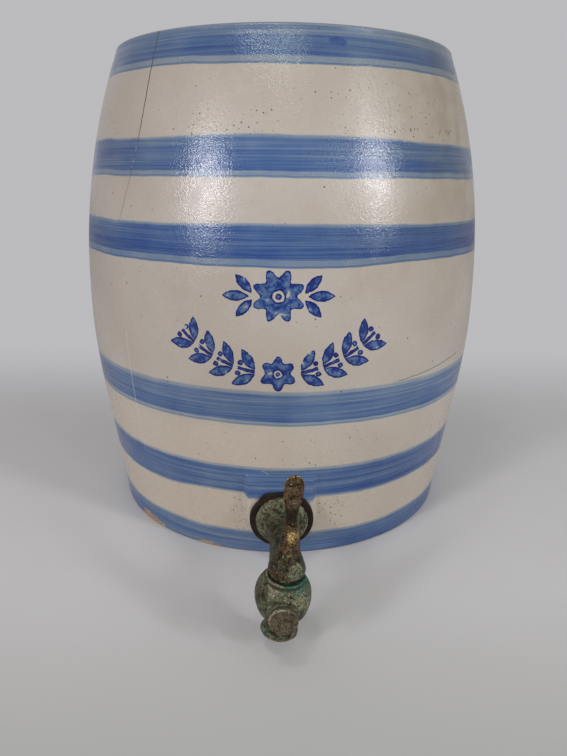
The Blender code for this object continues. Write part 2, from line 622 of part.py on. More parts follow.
def arm_mesh():
    """Rounded sections square to the arm's spine, closed at both ends, and bent a little aside."""
    spine = [(ARM_BACK * back, ARM_RISE * up) for back, up in arm_spine_shares]
    rows = [(y, z, PADDLE_W / 2 * wide, PADDLE_T / 2 * thick)
            for (y, z), wide, thick in zip(spine, arm_width_shares, arm_thickness_shares)]
    curve = smooth_through(rows, ARM_STEPS)
    bm = bmesh.new()
    rings = []
    for i, (y, z, half_w, half_t) in enumerate(curve):
        before, after = curve[max(i - 1, 0)], curve[min(i + 1, ARM_STEPS)]
        run = Vector((0, after[0] - before[0], after[1] - before[1])).normalized()
        face = Vector((0, -run.z, run.y))
        ring = []
        aside = ARM_ASIDE * (z / ARM_RISE) ** 2
        for side in range(ARM_SIDES):
            a = FULL_TURN * side / ARM_SIDES
            spot = Vector((aside + half_w * math.cos(a), y, z)) + face * half_t * math.sin(a)
            ring.append(bm.verts.new(spot))
        rings.append(ring)
    for low, high in zip(rings, rings[1:]):
        for side in range(ARM_SIDES):
            nxt = (side + 1) % ARM_SIDES
            bm.faces.new((low[side], low[nxt], high[nxt], high[side]))
    bm.faces.new(rings[0])
    bm.faces.new(rings[-1])
    return mesh_from(bm, "arm")


def make_lever(tap):
    """Bell, arm and paddle above the pin; hub and finger below it. The origin is on the pin's axis."""
    at_pin = Matrix.Translation((0, -bonnet_s, PIVOT_H))
    inner = BONNET_DOME_R + GAP + GAP
    skirt_r = inner + BELL_SKIRT_T
    edge_deg = math.degrees(math.asin(BELL_EDGE_H / inner))
    outline = arc((0, 0), inner, 90, edge_deg, 6)
    outline.append((skirt_r, BELL_EDGE_H))
    outline += [(skirt_r * across, BELL_H * up) for across, up in bell_outline_shares]
    outline.append((0.0, BELL_H))
    lever = turned("lever", outline, TAP_SIDES, LEVER_BRONZE, tap, at_pin)
    boolean(lever, add_object("arm", arm_mesh(), parent=tap, matrix=at_pin), "UNION")
    stem_top = inner + BELL_SKIRT_T
    stem_block = block_mesh("stem", (-STEM_W / 2, -STEM_L / 2, 0), (STEM_W / 2, STEM_L / 2, stem_top))
    stem = add_object("stem", stem_block, parent=tap, matrix=at_pin)
    boolean(lever, stem, "UNION")
    hub = turned("hub", ring_outline(0.0, HUB_R, -HUB_W / 2, HUB_W / 2), SMALL_SIDES, parent=tap,
                 place=at_pin, turn=SIDEWAYS)
    boolean(lever, hub, "UNION")
    finger_end = -PIVOT_H - FINGER_PAST_AXIS
    tip_r = FINGER_R * finger_tip_share
    finger_outline = [(0.0, finger_end), (tip_r, finger_end), (FINGER_R, finger_end + FINGER_R - tip_r),
                      (FINGER_R, -HUB_R / 2), (0.0, -HUB_R / 2)]
    finger_place = at_pin @ part_of_a_side(SMALL_SIDES, 1 / 4)
    boolean(lever, turned("finger", finger_outline, SMALL_SIDES, parent=tap, place=finger_place), "UNION")
    eye = turned("hub_eye", ring_outline(0.0, PIN_R + GAP, -HUB_W, HUB_W), SMALL_SIDES, parent=tap,
                 place=at_pin, turn=SIDEWAYS @ part_of_a_side(SMALL_SIDES, 1 / 2))
    boolean(lever, eye, "DIFFERENCE")


def make_tap():
    tap = bpy.data.objects.new("tap_frame", None)
    bpy.context.scene.collection.objects.link(tap)
    tap.location = (0, -pad_y, TAP_Z)
    tap.rotation_euler = (0, TAP_ROLL, 0)
    make_tap_body(tap)
    make_clamp(tap)
    make_front_cap(tap)
    make_seat(tap)
    make_plunger(tap)
    make_spring(tap)
    make_bonnet(tap)
    make_lever(tap)
    print("pad face y %.2f mm, wall at the tap %.2f mm" % (-pad_y / MM, wall_at_tap / MM))
    print("plunger travel at the lever's limit %.2f mm" % (PIVOT_H * LEVER_TRAVEL / MM))


clear_scene()
make_jar()
make_lid()
make_tap()
bpy.context.view_layer.update()
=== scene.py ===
# %% [markdown]
# # A glazed stoneware water cooler with a lever tap
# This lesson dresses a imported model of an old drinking-water cooler: a thrown stoneware barrel with six
# brushed cobalt bands, a lift-off lid, and a weathered bronze tap that closes by itself.
# The solids, the joints and the real sizes come from the frame. Everything here is about surfaces.

# %% The frame
import math

import bmesh
import bpy
import numpy as np
from mathutils import Matrix, Vector


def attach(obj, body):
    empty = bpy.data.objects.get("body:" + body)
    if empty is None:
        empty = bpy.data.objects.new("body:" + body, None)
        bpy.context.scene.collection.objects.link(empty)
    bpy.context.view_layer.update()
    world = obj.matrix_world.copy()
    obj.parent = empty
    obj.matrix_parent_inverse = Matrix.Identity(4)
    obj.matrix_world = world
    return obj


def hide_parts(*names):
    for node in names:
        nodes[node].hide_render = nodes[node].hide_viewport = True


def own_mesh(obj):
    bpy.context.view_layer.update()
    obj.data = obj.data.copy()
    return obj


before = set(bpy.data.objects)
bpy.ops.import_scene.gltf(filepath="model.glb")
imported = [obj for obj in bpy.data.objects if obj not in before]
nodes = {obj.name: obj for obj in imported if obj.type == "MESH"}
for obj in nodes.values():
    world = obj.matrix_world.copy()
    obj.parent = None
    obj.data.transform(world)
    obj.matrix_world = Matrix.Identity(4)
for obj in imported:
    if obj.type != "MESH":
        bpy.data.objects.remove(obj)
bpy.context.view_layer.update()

MM = 0.001


def place_object(name, data):
    """Puts a mesh, a lamp or a camera into the scene."""
    obj = bpy.data.objects.new(name, data)
    bpy.context.scene.collection.objects.link(obj)
    return obj


# %% [markdown]
# ## The camera
# The photograph was taken half a metre in front of the jar's axis, a little below the rim, with the camera
# tilted down. The jar is a turned shape, so its six bands, its rim and its foot fix the camera: where it
# stood, its focal length and its tilt.

# %% Camera
PHOTO_H = 756
FOCAL_LENGTH_IN_PIXELS = 616.56
SENSOR_MM = 36
CAMERA_PLACE = Vector((-5.25, -504.4, 252.13)) * MM
CAMERA_TILT = math.radians(18.292)
CAMERA_ROLL = math.radians(0.615)
CAMERA_TURN = math.radians(-0.85)


def make_camera():
    """Upright and level first, then tilted down, rolled about its own axis, and turned about Z."""
    data = bpy.data.cameras.new("photo_camera")
    data.sensor_width = SENSOR_MM
    data.lens = FOCAL_LENGTH_IN_PIXELS * SENSOR_MM / PHOTO_H
    camera = place_object("photo_camera", data)
    turn = Matrix.Rotation(CAMERA_TURN, 4, "Z")
    tilt = Matrix.Rotation(math.pi / 2 - CAMERA_TILT, 4, "X")
    roll = Matrix.Rotation(CAMERA_ROLL, 4, "Z")
    camera.matrix_world = Matrix.Translation(CAMERA_PLACE) @ turn @ tilt @ roll
    bpy.context.scene.camera = camera
    print("camera lens %.2f mm" % data.lens)


make_camera()

# %% [markdown]
# ## The barrel's outline as a formula
# A thrown barrel is one smooth curve. Here it is two cubic arcs that meet, upright, at the belly, just as
# the solid has it. Written for whole arrays, the same function serves the wall, the paint and the lamps.

# %% Barrel outline
JAR_H = 332.3 * MM
BELLY_Z = 157.5 * MM
BELLY_R = 150 * MM
RIM_R = 119.1 * MM
FOOT_R = 132.8 * MM
RIM_LEAN = 0.41
FOOT_FLARE = 0.08


def barrel_radius(z):
    """Below the belly and above it, a cubic blend of the two end radii plus a bow that fades at both ends."""
    z = np.asarray(z, float)
    low = np.clip(z / BELLY_Z, 0, 1)
    foot = FOOT_R + (BELLY_R - FOOT_R) * (3 * low ** 2 - 2 * low ** 3)
    foot = foot + FOOT_FLARE * BELLY_Z * low * (1 - low) ** 2
    top = np.clip((z - BELLY_Z) / (JAR_H - BELLY_Z), 0, 1)
    rim = BELLY_R + (RIM_R - BELLY_R) * (3 * top ** 2 - 2 * top ** 3)
    rim = rim + RIM_LEAN * (JAR_H - BELLY_Z) * top ** 2 * (1 - top)
    return np.where(z < BELLY_Z, foot, rim)


def on_barrel(degrees, z):
    """A point on the outside and its outward normal. Angle 0 faces the tap, and angles grow to the right."""
    a = math.radians(degrees)
    r = float(barrel_radius(z))
    slope = float(barrel_radius(z + MM) - barrel_radius(z - MM)) / (2 * MM)
    outward = Vector((math.sin(a), -math.cos(a), -slope)).normalized()
    return Vector((r * math.sin(a), -r * math.cos(a), z)), outward


print("halfway up, the barrel is %.0f mm wide" % (2 * float(barrel_radius(JAR_H / 2)) / MM))

# %% [markdown]
# ## Shader maths that reads like maths
# A pattern that a formula describes best, such as a painted band, needs dozens of Math nodes. The small
# class below stands for one value on its way through a node tree, and its sums and products add the nodes.

# %% Wires


class Wire:
    """One value that varies over a surface."""

    def __init__(self, tree, socket):
        self.tree = tree
        self.socket = socket

    def __abs__(self):
        return maths("ABSOLUTE", self)


def teach(sign, operation):
    """From here on, a sum or product with a wire on either side of the sign adds a Math node."""
    setattr(Wire, "__" + sign + "__", lambda self, other: maths(operation, self, other))
    setattr(Wire, "__r" + sign + "__", lambda self, other: maths(operation, other, self))


SIGNS = {"add": "ADD", "sub": "SUBTRACT", "mul": "MULTIPLY", "truediv": "DIVIDE", "pow": "POWER"}
for sign, operation in SIGNS.items():
    teach(sign, operation)


def tree_of(*values):
    """The node tree that the wires among these values run through."""
    return next(value.tree for value in values if isinstance(value, Wire))


def plug(value, socket):
    """A wire is linked to the socket. A number or colour is written on it, and a colour gets its alpha."""
    if isinstance(value, Wire):
        value.tree.links.new(value.socket, socket)
    else:
        socket.default_value = (*value, 1) if socket.type == "RGBA" else value


def add_node(tree, kind, inputs=None, output=0, **settings):
    """Adds a node, sets it up, plugs in its inputs by name or number, and returns one output as a wire."""
    node = tree.nodes.new(kind)
    for name, value in settings.items():
        setattr(node, name, value)
    for key, value in (inputs or {}).items():
        plug(value, node.inputs[key])
    return Wire(tree, node.outputs[output])


def maths(operation, *values):
    """One Math node."""
    return add_node(tree_of(*values), "ShaderNodeMath", dict(enumerate(values)), operation=operation)


print("wires know", len(SIGNS), "signs")

# %% [markdown]
# With wires, the few functions that every finish below is built from are short: soft steps between two
# heights, colours laid over one another, noise of a given size in millimetres, and round dots.

# %% Steps and colours


def least(a, b):
    """The smaller of the two at every place."""
    return maths("MINIMUM", a, b)


def most(a, b):
    """The greater of the two at every place."""
    return maths("MAXIMUM", a, b)


def distance(x, y):
    """How far the place (x, y) lies from (0, 0)."""
    return maths("SQRT", x * x + y * y)


def rise(value, low, high):
    """0 below low and 1 above high, with a smooth step between. With high below low it falls instead."""
    inputs = {"Value": value, "From Min": low, "From Max": high}
    return add_node(value.tree, "ShaderNodeMapRange", inputs, interpolation_type="SMOOTHSTEP")


def within(value, low, high, edge):
    """1 from low to high and 0 outside, with soft edges of the given width."""
    return rise(value, low - edge / 2, low + edge / 2) * rise(value, high + edge / 2, high - edge / 2)


def mixed(amount, first, second):
    """A colour on the way from the first to the second."""
    inputs = {0: amount, 6: first, 7: second}
    return add_node(tree_of(amount, first, second), "ShaderNodeMix", inputs, output=2, data_type="RGBA")


def layered(colour, layers):
    """Lays colours over one another in turn. Each layer says how much of it shows, and its colour."""
    for amount, over in layers.values():
        colour = mixed(amount, colour, over)
    return colour


# %% Places and patterns


def point(x, y, z=0.0):
    """A place made of three values."""
    return add_node(tree_of(x, y, z), "ShaderNodeCombineXYZ", {0: x, 1: y, 2: z})


def stretched(place, x, y, z):
    """A place with each coordinate multiplied. A factor under 1 draws a pattern out along that axis."""
    return add_node(place.tree, "ShaderNodeVectorMath", {0: place, 1: (x, y, z)}, operation="MULTIPLY")


def parts(place):
    """The three coordinates of a place."""
    return [add_node(place.tree, "ShaderNodeSeparateXYZ", {0: place}, output=i) for i in range(3)]


def noise(place, size, detail=2.0, roughness=0.5):
    """Smooth noise from 0 to 1 with lumps of about that size."""
    inputs = {"Vector": place, "Scale": 1 / size, "Detail": detail, "Roughness": roughness}
    return add_node(place.tree, "ShaderNodeTexNoise", inputs)


def spots(sheet, size, share, widest):
    """Round dots on a plane of millimetres, up to widest across: one cell in 1 / share holds a dot."""
    inputs = {"Vector": sheet, "Scale": 1 / size}
    away, colour = (add_node(sheet.tree, "ShaderNodeTexVoronoi", inputs, output=name, voronoi_dimensions="2D")
                    for name in ("Distance", "Color"))
    chance = add_node(sheet.tree, "ShaderNodeSeparateColor", {0: colour})
    reach = (1 - rise(chance, share * 0.2, share)) * (widest / size)
    return rise(away, reach, reach * 0.4) * rise(reach, 0.0, 0.25 * widest / size)


def attribute(tree, name):
    """A mask that was painted on the mesh."""
    return add_node(tree, "ShaderNodeAttribute", output="Fac", attribute_name=name)


# %% [markdown]
# A finish that several materials share is a node group. Its sockets are made first, then its nodes, and
# each material places it with its own values. Only patterns go through a group, never a shader.

# %% Groups and materials
SOCKETS = {"VALUE": "NodeSocketFloat", "VECTOR": "NodeSocketVector", "RGBA": "NodeSocketColor"}
KIND_BY_LENGTH = {1: "VALUE", 3: "VECTOR", 4: "RGBA"}


def new_group(name, **inputs):
    """An empty group. The length of each input's first value tells its kind: number, place or colour."""
    group = bpy.data.node_groups.new(name, "ShaderNodeTree")
    for socket_name, value in inputs.items():
        kind = SOCKETS[KIND_BY_LENGTH[np.size(value)]]
        socket = group.interface.new_socket(socket_name, in_out="INPUT", socket_type=kind)
        socket.default_value = value
    entry = group.nodes.new("NodeGroupInput")
    return group, {name: Wire(group, entry.outputs[name]) for name in inputs}


def close_group(group, **results):
    """Gives the group an output for each wire."""
    for name, wire in results.items():
        kind = SOCKETS[wire.socket.type]
        group.interface.new_socket(name, in_out="OUTPUT", socket_type=kind)
    out = group.nodes.new("NodeGroupOutput")
    for name, wire in results.items():
        plug(wire, out.inputs[name])
    print("the group", group.name, "has", len(group.nodes), "nodes")
    return group


def use_group(group, tree, **inputs):
    """Places the group in a tree and returns its outputs by name."""
    node = tree.nodes.new("ShaderNodeGroup")
    node.node_tree = group
    for name, value in inputs.items():
        plug(value, node.inputs[name])
    return {socket.name: Wire(tree, socket) for socket in node.outputs}


def new_material(name):
    """A material with a Principled shader, its tree, and the place on the object in millimetres."""
    material = bpy.data.materials.new(name)
    material.use_nodes = True
    place = add_node(material.node_tree, "ShaderNodeTexCoord", output="Object")
    return material, material.node_tree, stretched(place, 1 / MM, 1 / MM, 1 / MM)


def bump(height, depth):
    """A normal that makes the surface look raised by depth where the height is 1."""
    return add_node(height.tree, "ShaderNodeBump", {"Height": height, "Distance": depth}, output="Normal")


def finish_material(material, **values):
    """Plugs values into the Principled shader. Base_Color stands for the socket called Base Color."""
    nodes_made = material.node_tree.nodes
    for name, value in values.items():
        plug(value, nodes_made["Principled BSDF"].inputs[name.replace("_", " ")])
    print("the material", material.name, "has", len(nodes_made), "nodes")
    return material


# %% [markdown]
# ## Light
# Two tall soft windows show in the glaze as upright glitter. A lamp shows in a mirror where the sight line,
# bounced off the surface, runs to the lamp. So each lamp is placed by bouncing the camera's sight line off
# the point of the glaze where its glitter lies: an angle and a height. Then come its width, height and
# watts.

# %% Lamps
LAMP_DISTANCE = 1.7
WINDOW_LAMPS = {
    "left_window": (-18.8, 249 * MM, 0.44, 0.75, 3.7),
    "left_pane": (-18.4, 247 * MM, 0.24, 0.36, 7.6),
    "right_window": (22.2, 252 * MM, 0.38, 0.50, 3.0),
    "right_pane": (21.6, 252 * MM, 0.20, 0.30, 7.0),
    "ceiling_gap": (0.2, 314 * MM, 0.07, 0.34, 1.9),
    "far_door": (20.5, 292 * MM, 0.08, 0.24, 1.6),
    "passage": (13.2, 258 * MM, 0.06, 0.60, 1.4),
}
GREENISH = ("ceiling_gap", "far_door", "passage")
GREEN_GLASS = (0.86, 1.0, 0.88)
DAYLIGHT = (1.0, 0.975, 1.03)
TAP_LAMP_PLACE = Vector((-0.16, -0.46, 0.95))
TAP_LAMP_TARGET = Vector((0, -0.2, 0.05))
TAP_LAMP_SIZE = (0.16, 0.12, 0.8)


def add_lamp(name, place, target, width, height, watts):
    """A rectangle of light that faces its target."""
    data = bpy.data.lights.new(name, "AREA")
    data.shape = "RECTANGLE"
    data.size = width
    data.size_y = height
    data.energy = watts
    lamp = place_object(name, data)
    lamp.location = place
    lamp.rotation_euler = (target - place).to_track_quat("-Z", "Y").to_euler()
    print(name, "stands at", tuple(round(c, 2) for c in place))
    return lamp


def make_lamps():
    """The windows and gaps that the glaze mirrors, and a small lamp from above for the tap."""
    for name, (degrees, z, *size) in WINDOW_LAMPS.items():
        spot, outward = on_barrel(degrees, z)
        sight = (spot - CAMERA_PLACE).normalized()
        bounced = sight - 2 * sight.dot(outward) * outward
        lamp = add_lamp(name, spot + bounced * LAMP_DISTANCE, spot, *size)
        lamp.data.color = GREEN_GLASS if name in GREENISH else DAYLIGHT
    add_lamp("tap_lamp", TAP_LAMP_PLACE, TAP_LAMP_TARGET, *TAP_LAMP_SIZE)


make_lamps()

# %% World
WORLD_LIGHT = (0.375, 0.372, 0.385)
BACKDROP = (0.50, 0.495, 0.515)


def make_world():
    """Even light from all round. Camera, glossy and glass rays see the plain backdrop colour instead."""
    world = bpy.data.worlds.new("studio")
    bpy.context.scene.world = world
    world.use_nodes = True
    tree = world.node_tree
    tree.nodes.clear()
    camera, glossy, glass = (add_node(tree, "ShaderNodeLightPath", output=name) for name in
                             ("Is Camera Ray", "Is Glossy Ray", "Is Transmission Ray"))
    even, backdrop = (add_node(tree, "ShaderNodeBackground", {"Color": c}) for c in (WORLD_LIGHT, BACKDROP))
    seen = most(camera, most(glossy, glass))
    light = add_node(tree, "ShaderNodeMixShader", {0: seen, 1: even, 2: backdrop})
    plug(light, tree.nodes.new("ShaderNodeOutputWorld").inputs["Surface"])
    print("the world has", len(tree.nodes), "nodes")


make_world()
bpy.context.scene.view_settings.view_transform = "Standard"

# %% [markdown]
# ## Surfaces from numpy
# Every new piece is a grid of points worked out at once. The rows run along an outline and the columns run
# round, and one function joins any such grid into quads. Rings that close on the axis become single points.

# %% Grids into meshes


def sealed_mesh(name, points, faces):
    """A mesh with its doubles, such as at the poles, merged and its faces turned outwards."""
    mesh = bpy.data.meshes.new(name)
    mesh.from_pydata(points.reshape(-1, 3).tolist(), [], faces)
    bm = bmesh.new()
    bm.from_mesh(mesh)
    bmesh.ops.remove_doubles(bm, verts=bm.verts, dist=MM / 1000)
    bmesh.ops.recalc_face_normals(bm, faces=bm.faces)
    bm.to_mesh(mesh)
    bm.free()
    return mesh


def grid_mesh(name, grid):
    """Joins grid[column, row] to its neighbours as quads, and the last column to the first."""
    columns, rows = grid.shape[:2]
    index = np.arange(columns * rows).reshape(columns, rows)
    index = np.vstack([index, index[:1]])
    quads = np.stack([index[:-1, :-1], index[1:, :-1], index[1:, 1:], index[:-1, 1:]], axis=-1)
    return sealed_mesh(name, grid, quads.reshape(-1, 4).tolist())


def all_round(count):
    """Angles evenly spaced round a full turn."""
    return np.linspace(0, 2 * math.pi, count, endpoint=False)


def turned_grid(profile, angles):
    """Turns (radius, height) rows about Z: x = r sin a and y = -r cos a, so angle 0 faces the tap."""
    radius, height = np.asarray(profile, float).T
    a = np.asarray(angles)[:, None]
    shape = (len(angles), len(radius))
    return np.stack([radius * np.sin(a), -radius * np.cos(a), np.broadcast_to(height, shape)], axis=-1)


def capped(grid):
    """Adds the middle of the first ring and of the last one, which closes both ends of a tube."""
    ends = [np.broadcast_to(grid[:, i].mean(0), (len(grid), 1, 3)) for i in (0, -1)]
    return np.concatenate([ends[0], grid, ends[1]], axis=1)


# %% Rows of an outline


def arc_rows(centre, radius, start_deg, end_deg, count):
    """Points on an arc round a centre."""
    a = np.radians(np.linspace(start_deg, end_deg, count))
    return np.column_stack([centre[0] + radius * np.cos(a), centre[1] + radius * np.sin(a)])


def smooth_rows(rows, count):
    """A Catmull-Rom curve through the rows, read at even steps: it passes through every row."""
    rows = np.asarray(rows, float)
    padded = np.vstack([2 * rows[0] - rows[1], rows, 2 * rows[-1] - rows[-2]])
    at = np.linspace(0, len(rows) - 1, count)
    i = np.minimum(at.astype(int), len(rows) - 2)
    t = (at - i)[:, None]
    a, b, c, d = (padded[i + k] for k in range(4))
    bend = (2 * a - 5 * b + 4 * c - d) * t ** 2 + (3 * b - a - 3 * c + d) * t ** 3
    return 0.5 * (2 * b + (c - a) * t + bend)


def closed_rows(rows):
    """Joins the outline's end to its start."""
    return np.vstack([rows, rows[:1]])


# %% Values over a mesh


def read_points(mesh, attribute_name="co"):
    """Every vertex's place, or its normal."""
    values = np.empty(len(mesh.vertices) * 3, np.float32)
    mesh.vertices.foreach_get(attribute_name, values)
    return values.reshape(-1, 3).astype(float)


def write_points(mesh, points):
    """Moves every vertex."""
    mesh.vertices.foreach_set("co", np.asarray(points, np.float32).ravel())
    mesh.update()


def write_mask(mesh, name, values):
    """Stores one number for each vertex, which a material reads by name."""
    layer = mesh.attributes.new(name, "FLOAT", "POINT")
    values = np.broadcast_to(values, len(mesh.vertices))
    layer.data.foreach_set("value", np.clip(values, 0, 1).astype(np.float32))


def step(values, low, high):
    """The smooth step in numpy: 0 at low and 1 at high."""
    t = np.clip((values - low) / (high - low), 0, 1)
    return t * t * (3 - 2 * t)


def hump(values, centre, width):
    """A bell curve: 1 at the centre, and e^-1 a width away from it."""
    return np.exp(-((values - centre) / width) ** 2)


def ripples(points, size, seed, waves=24):
    """Soft lumps of about that size, from -1 to 1: a sum of cosine waves that run in random directions."""
    random = np.random.default_rng(seed)
    heading = random.normal(size=(waves, 3))
    heading /= np.linalg.norm(heading, axis=1)[:, None]
    length = size * random.uniform(0.7, 1.6, waves)
    phase = random.uniform(0, 2 * math.pi, waves)
    total = np.cos(points @ (heading / length[:, None]).T * 2 * math.pi + phase).sum(1)
    return np.clip(total / math.sqrt(waves) / 1.6, -1, 1)


# %% Pieces and their modifiers
SHARPEST_SMOOTH_EDGE = math.radians(42)


def new_piece(name, mesh, material, body, replaced):
    """Links a finished piece, gives it its material, and seats it on its body in place of the plain solid."""
    piece = place_object(name, mesh)
    mesh.materials.clear()
    mesh.materials.append(material)
    mesh.shade_smooth()
    mesh.set_sharp_from_angle(angle=SHARPEST_SMOOTH_EDGE)
    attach(piece, body)
    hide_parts(replaced)
    print(name, "has", len(mesh.polygons), "faces")
    return piece


def baked_mesh(obj):
    """The object's mesh as its modifiers leave it. The object itself is removed."""
    bpy.context.view_layer.update()
    depsgraph = bpy.context.evaluated_depsgraph_get()
    mesh = bpy.data.meshes.new_from_object(obj.evaluated_get(depsgraph))
    bpy.data.objects.remove(obj)
    return mesh


def cut_or_join(mesh, other, operation):
    """One exact Boolean between two meshes."""
    kept, tool = place_object("kept", mesh), place_object("tool", other)
    modifier = kept.modifiers.new("boolean", "BOOLEAN")
    modifier.operation = operation
    modifier.solver = "EXACT"
    modifier.object = tool
    result = baked_mesh(kept)
    bpy.data.objects.remove(tool)
    return result


def cast_skin(mesh, voxel, rounds):
    """Remeshes a solid in small quads and relaxes them: edges round and corners fill, as in a casting."""
    obj = place_object("casting", mesh)
    remesh = obj.modifiers.new("remesh", "REMESH")
    remesh.mode = "VOXEL"
    remesh.voxel_size = voxel
    relax = obj.modifiers.new("relax", "SMOOTH")
    relax.factor = 0.5
    relax.iterations = rounds
    return baked_mesh(obj)


# %% [markdown]
# ## The patterns that the glaze is made of
# The bands were brushed on with cobalt while the jar turned on a wheel, under a clear salt glaze. A stain
# under a clear glaze works like a filter: twice the cobalt lets through the square of the light. So one
# number, the amount of cobalt, gives every shade from a pale wash to the darkest pool.

# %% Group: cobalt stain
CREAM = (0.462, 0.408, 0.352, 1)
LIGHT_LEFT_BY_ONE_COAT = (0.212, 0.385, 0.785)


def make_cobalt_stain():
    """Color = Ground x share ^ Paint, for red, green and blue."""
    group, given = new_group("cobalt_stain", Ground=CREAM, Paint=0.0)
    left = [share ** given["Paint"] for share in LIGHT_LEFT_BY_ONE_COAT]
    filtered = add_node(group, "ShaderNodeCombineColor", dict(enumerate(left)))
    tinted = add_node(group, "ShaderNodeMix", {0: 1.0, 6: given["Ground"], 7: filtered}, output=2,
                      data_type="RGBA", blend_type="MULTIPLY")
    return close_group(group, Color=tinted)


cobalt_stain = make_cobalt_stain()

# %% [markdown]
# A loaded brush held against a turning pot leaves long level hairs of thick and thin paint, with an edge
# that wanders by a millimetre as the jar wobbles. A noise drawn out ninety times along the wall gives such
# hairs.

# %% Group: brush marks
ALONG_HAIRS = 0.011
ALONG_BROAD = 0.02
EDGE_WANDER = 3.4


def make_brush_marks():
    """Hairs, Broad and Cloud run from 0 to 1, and Wander is a height in millimetres."""
    group, given = new_group("brush_marks", Place=(0, 0, 0))
    place = given["Place"]
    hairs = noise(stretched(place, ALONG_HAIRS, ALONG_HAIRS, 1), 0.9, 4, 0.62)
    broad = noise(stretched(place, ALONG_BROAD, ALONG_BROAD, 1), 4.2, 2)
    wander = (noise(stretched(place, 1, 1, 0.2), 46, 3, 0.55) - 0.5) * EDGE_WANDER
    return close_group(group, Hairs=rise(hairs, 0.3, 0.7), Broad=rise(broad, 0.3, 0.7), Wander=wander,
                       Cloud=noise(place, 22, 3))


brush_marks = make_brush_marks()

# %% [markdown]
# The clay under the glaze is cream with warm and grey clouds. Iron in it melts out as dark pinholes, most
# of them tiny and a few as wide as a millimetre. They are drawn on the unrolled wall, where a dot stays
# round. The salt glaze itself is dimpled like orange peel, which breaks every reflection into glitter.

# %% Group: salt glaze
CLOUDY_CLAY = ((0.432, 0.374, 0.318), (0.478, 0.428, 0.374))
GRAINY_CLAY = (0.40, 0.345, 0.285)


def make_salt_glaze():
    """Ground is the clay's colour under clear glaze, Specks are the pinholes, Height is for the bump."""
    group, given = new_group("salt_glaze", Place=(0, 0, 0), Sheet=(0, 0, 0), Crowd=0.0)
    place, sheet = given["Place"], given["Sheet"]
    ground = mixed(rise(noise(place, 60, 3), 0.3, 0.7), *CLOUDY_CLAY)
    ground = mixed(rise(noise(place, 7, 4, 0.6), 0.55, 0.8) * 0.35, ground, GRAINY_CLAY)
    crowded = 0.03 + 0.2 * rise(noise(place, 30, 3, 0.6), 0.52, 0.70) + given["Crowd"]
    specks = most(spots(sheet, 4.6, crowded * 0.44, 0.68), spots(sheet, 2.4, crowded * 0.24, 0.42))
    dimples = noise(place, 1.05, 2, 0.6) + noise(place, 2.6, 2) * 0.65
    return close_group(group, Ground=ground, Specks=specks, Height=dimples - specks * 0.5)


salt_glaze = make_salt_glaze()

# %% [markdown]
# ## The stencilled ornament
# A stencil was dabbed on the front between the bands. Here it is a plain garland of leaves on a hanging arc
# with a rosette above. Each leaf is a depth: how far inside the leaf's edge a point lies, in millimetres.
# The depth of the whole pattern is the greatest of them all, and colour pools near depth 0, at the edges.

# %% Leaves and flowers
BELLY_MM = 150
GARLAND_TOP_Z = 224.6
GARLAND_R = 87.6
LEAF_CELL = 14.0
GARLAND_START = 12.6
GARLAND_END = 68.4
ROSETTE_Z = 184.5
ORNAMENT_ASIDE = -3.4
STENCIL_REACH = 95


def leaf_depth(along, across, half_length, half_width):
    """A pointed leaf: half_width (1 - (along / half_length)^2) minus the distance from its midrib."""
    share = along / half_length
    return half_width * (1 - share * share) - abs(across)


def turned_by(along, across, degrees):
    """The same place, seen from axes turned by an angle."""
    c, s = math.cos(math.radians(degrees)), math.sin(math.radians(degrees))
    return along * c + across * s, across * c - along * s


def petals_depth(x, y, count, radius, deepest):
    """A flower: the edge's radius swings with the angle, deepest millimetres in between petals."""
    angle = maths("ARCTAN2", y, x)
    reach = distance(x, y)
    edge = radius - deepest * maths("COSINE", angle * count)
    return least(edge - reach, reach - radius * 0.26), reach


# %% Garland and rosette


def garland_depth(u, z):
    """Leaf pairs hang on an arc, mirrored about its middle, with a berry between the pairs."""
    down = GARLAND_TOP_Z - z
    arc_at = maths("ARCTAN2", u, down) * GARLAND_R
    out = distance(u, down) - GARLAND_R
    side = abs(arc_at)
    in_cell = maths("MODULO", side - GARLAND_START + LEAF_CELL, LEAF_CELL) - LEAF_CELL / 2
    leaves = leaf_depth(*turned_by(in_cell - 0.4, abs(out) - 6.6, 42), 8.0, 3.3)
    stem = least(1.1 - abs(out), 5.4 - abs(in_cell))
    berry = 1.7 - distance(in_cell - 4.6, abs(out) - 3.6)
    chain = most(most(leaves, stem), berry)
    chain = least(chain, least(GARLAND_END - side, side - GARLAND_START) * 4)
    flower, reach = petals_depth(arc_at, out, 6, 9.6, 1.8)
    return most(most(chain, flower), 1.5 - reach)


def rosette_depth(u, z):
    """An eight-petalled flower with a leaf spray on each side."""
    up = z - ROSETTE_Z
    flower, reach = petals_depth(u, up, 8, 13.4, 2.6)
    side = abs(u)
    middle = leaf_depth(side - 25.6, up, 8.2, 3.2)
    pair = leaf_depth(*turned_by(side - 20.6, abs(up) - 7.2, 46), 7.2, 3.0)
    return most(most(flower, 1.9 - reach), most(middle, pair))


def stencil_coats(u, z, place, patches):
    """Cobalt dabbed through the stencil, in coats: shaky edges, patchy inside, pooled at the rim."""
    shaky_u = u - ORNAMENT_ASIDE + (noise(place, 2.6, 2) - 0.5) * 1.5
    shaky_z = z + (noise(stretched(place, 1, 1, -1), 2.6, 2) - 0.5) * 1.5
    depth = most(garland_depth(shaky_u, shaky_z), rosette_depth(shaky_u, shaky_z))
    inked = rise(depth, -0.15, 0.25) * rise(patches, 0.28, 0.40)
    coats = inked * (1.15 + 3.0 * rise(depth, 1.3, 0.5) + 1.9 * rise(patches, 0.44, 0.62))
    return coats * within(u, -STENCIL_REACH, STENCIL_REACH, 2)


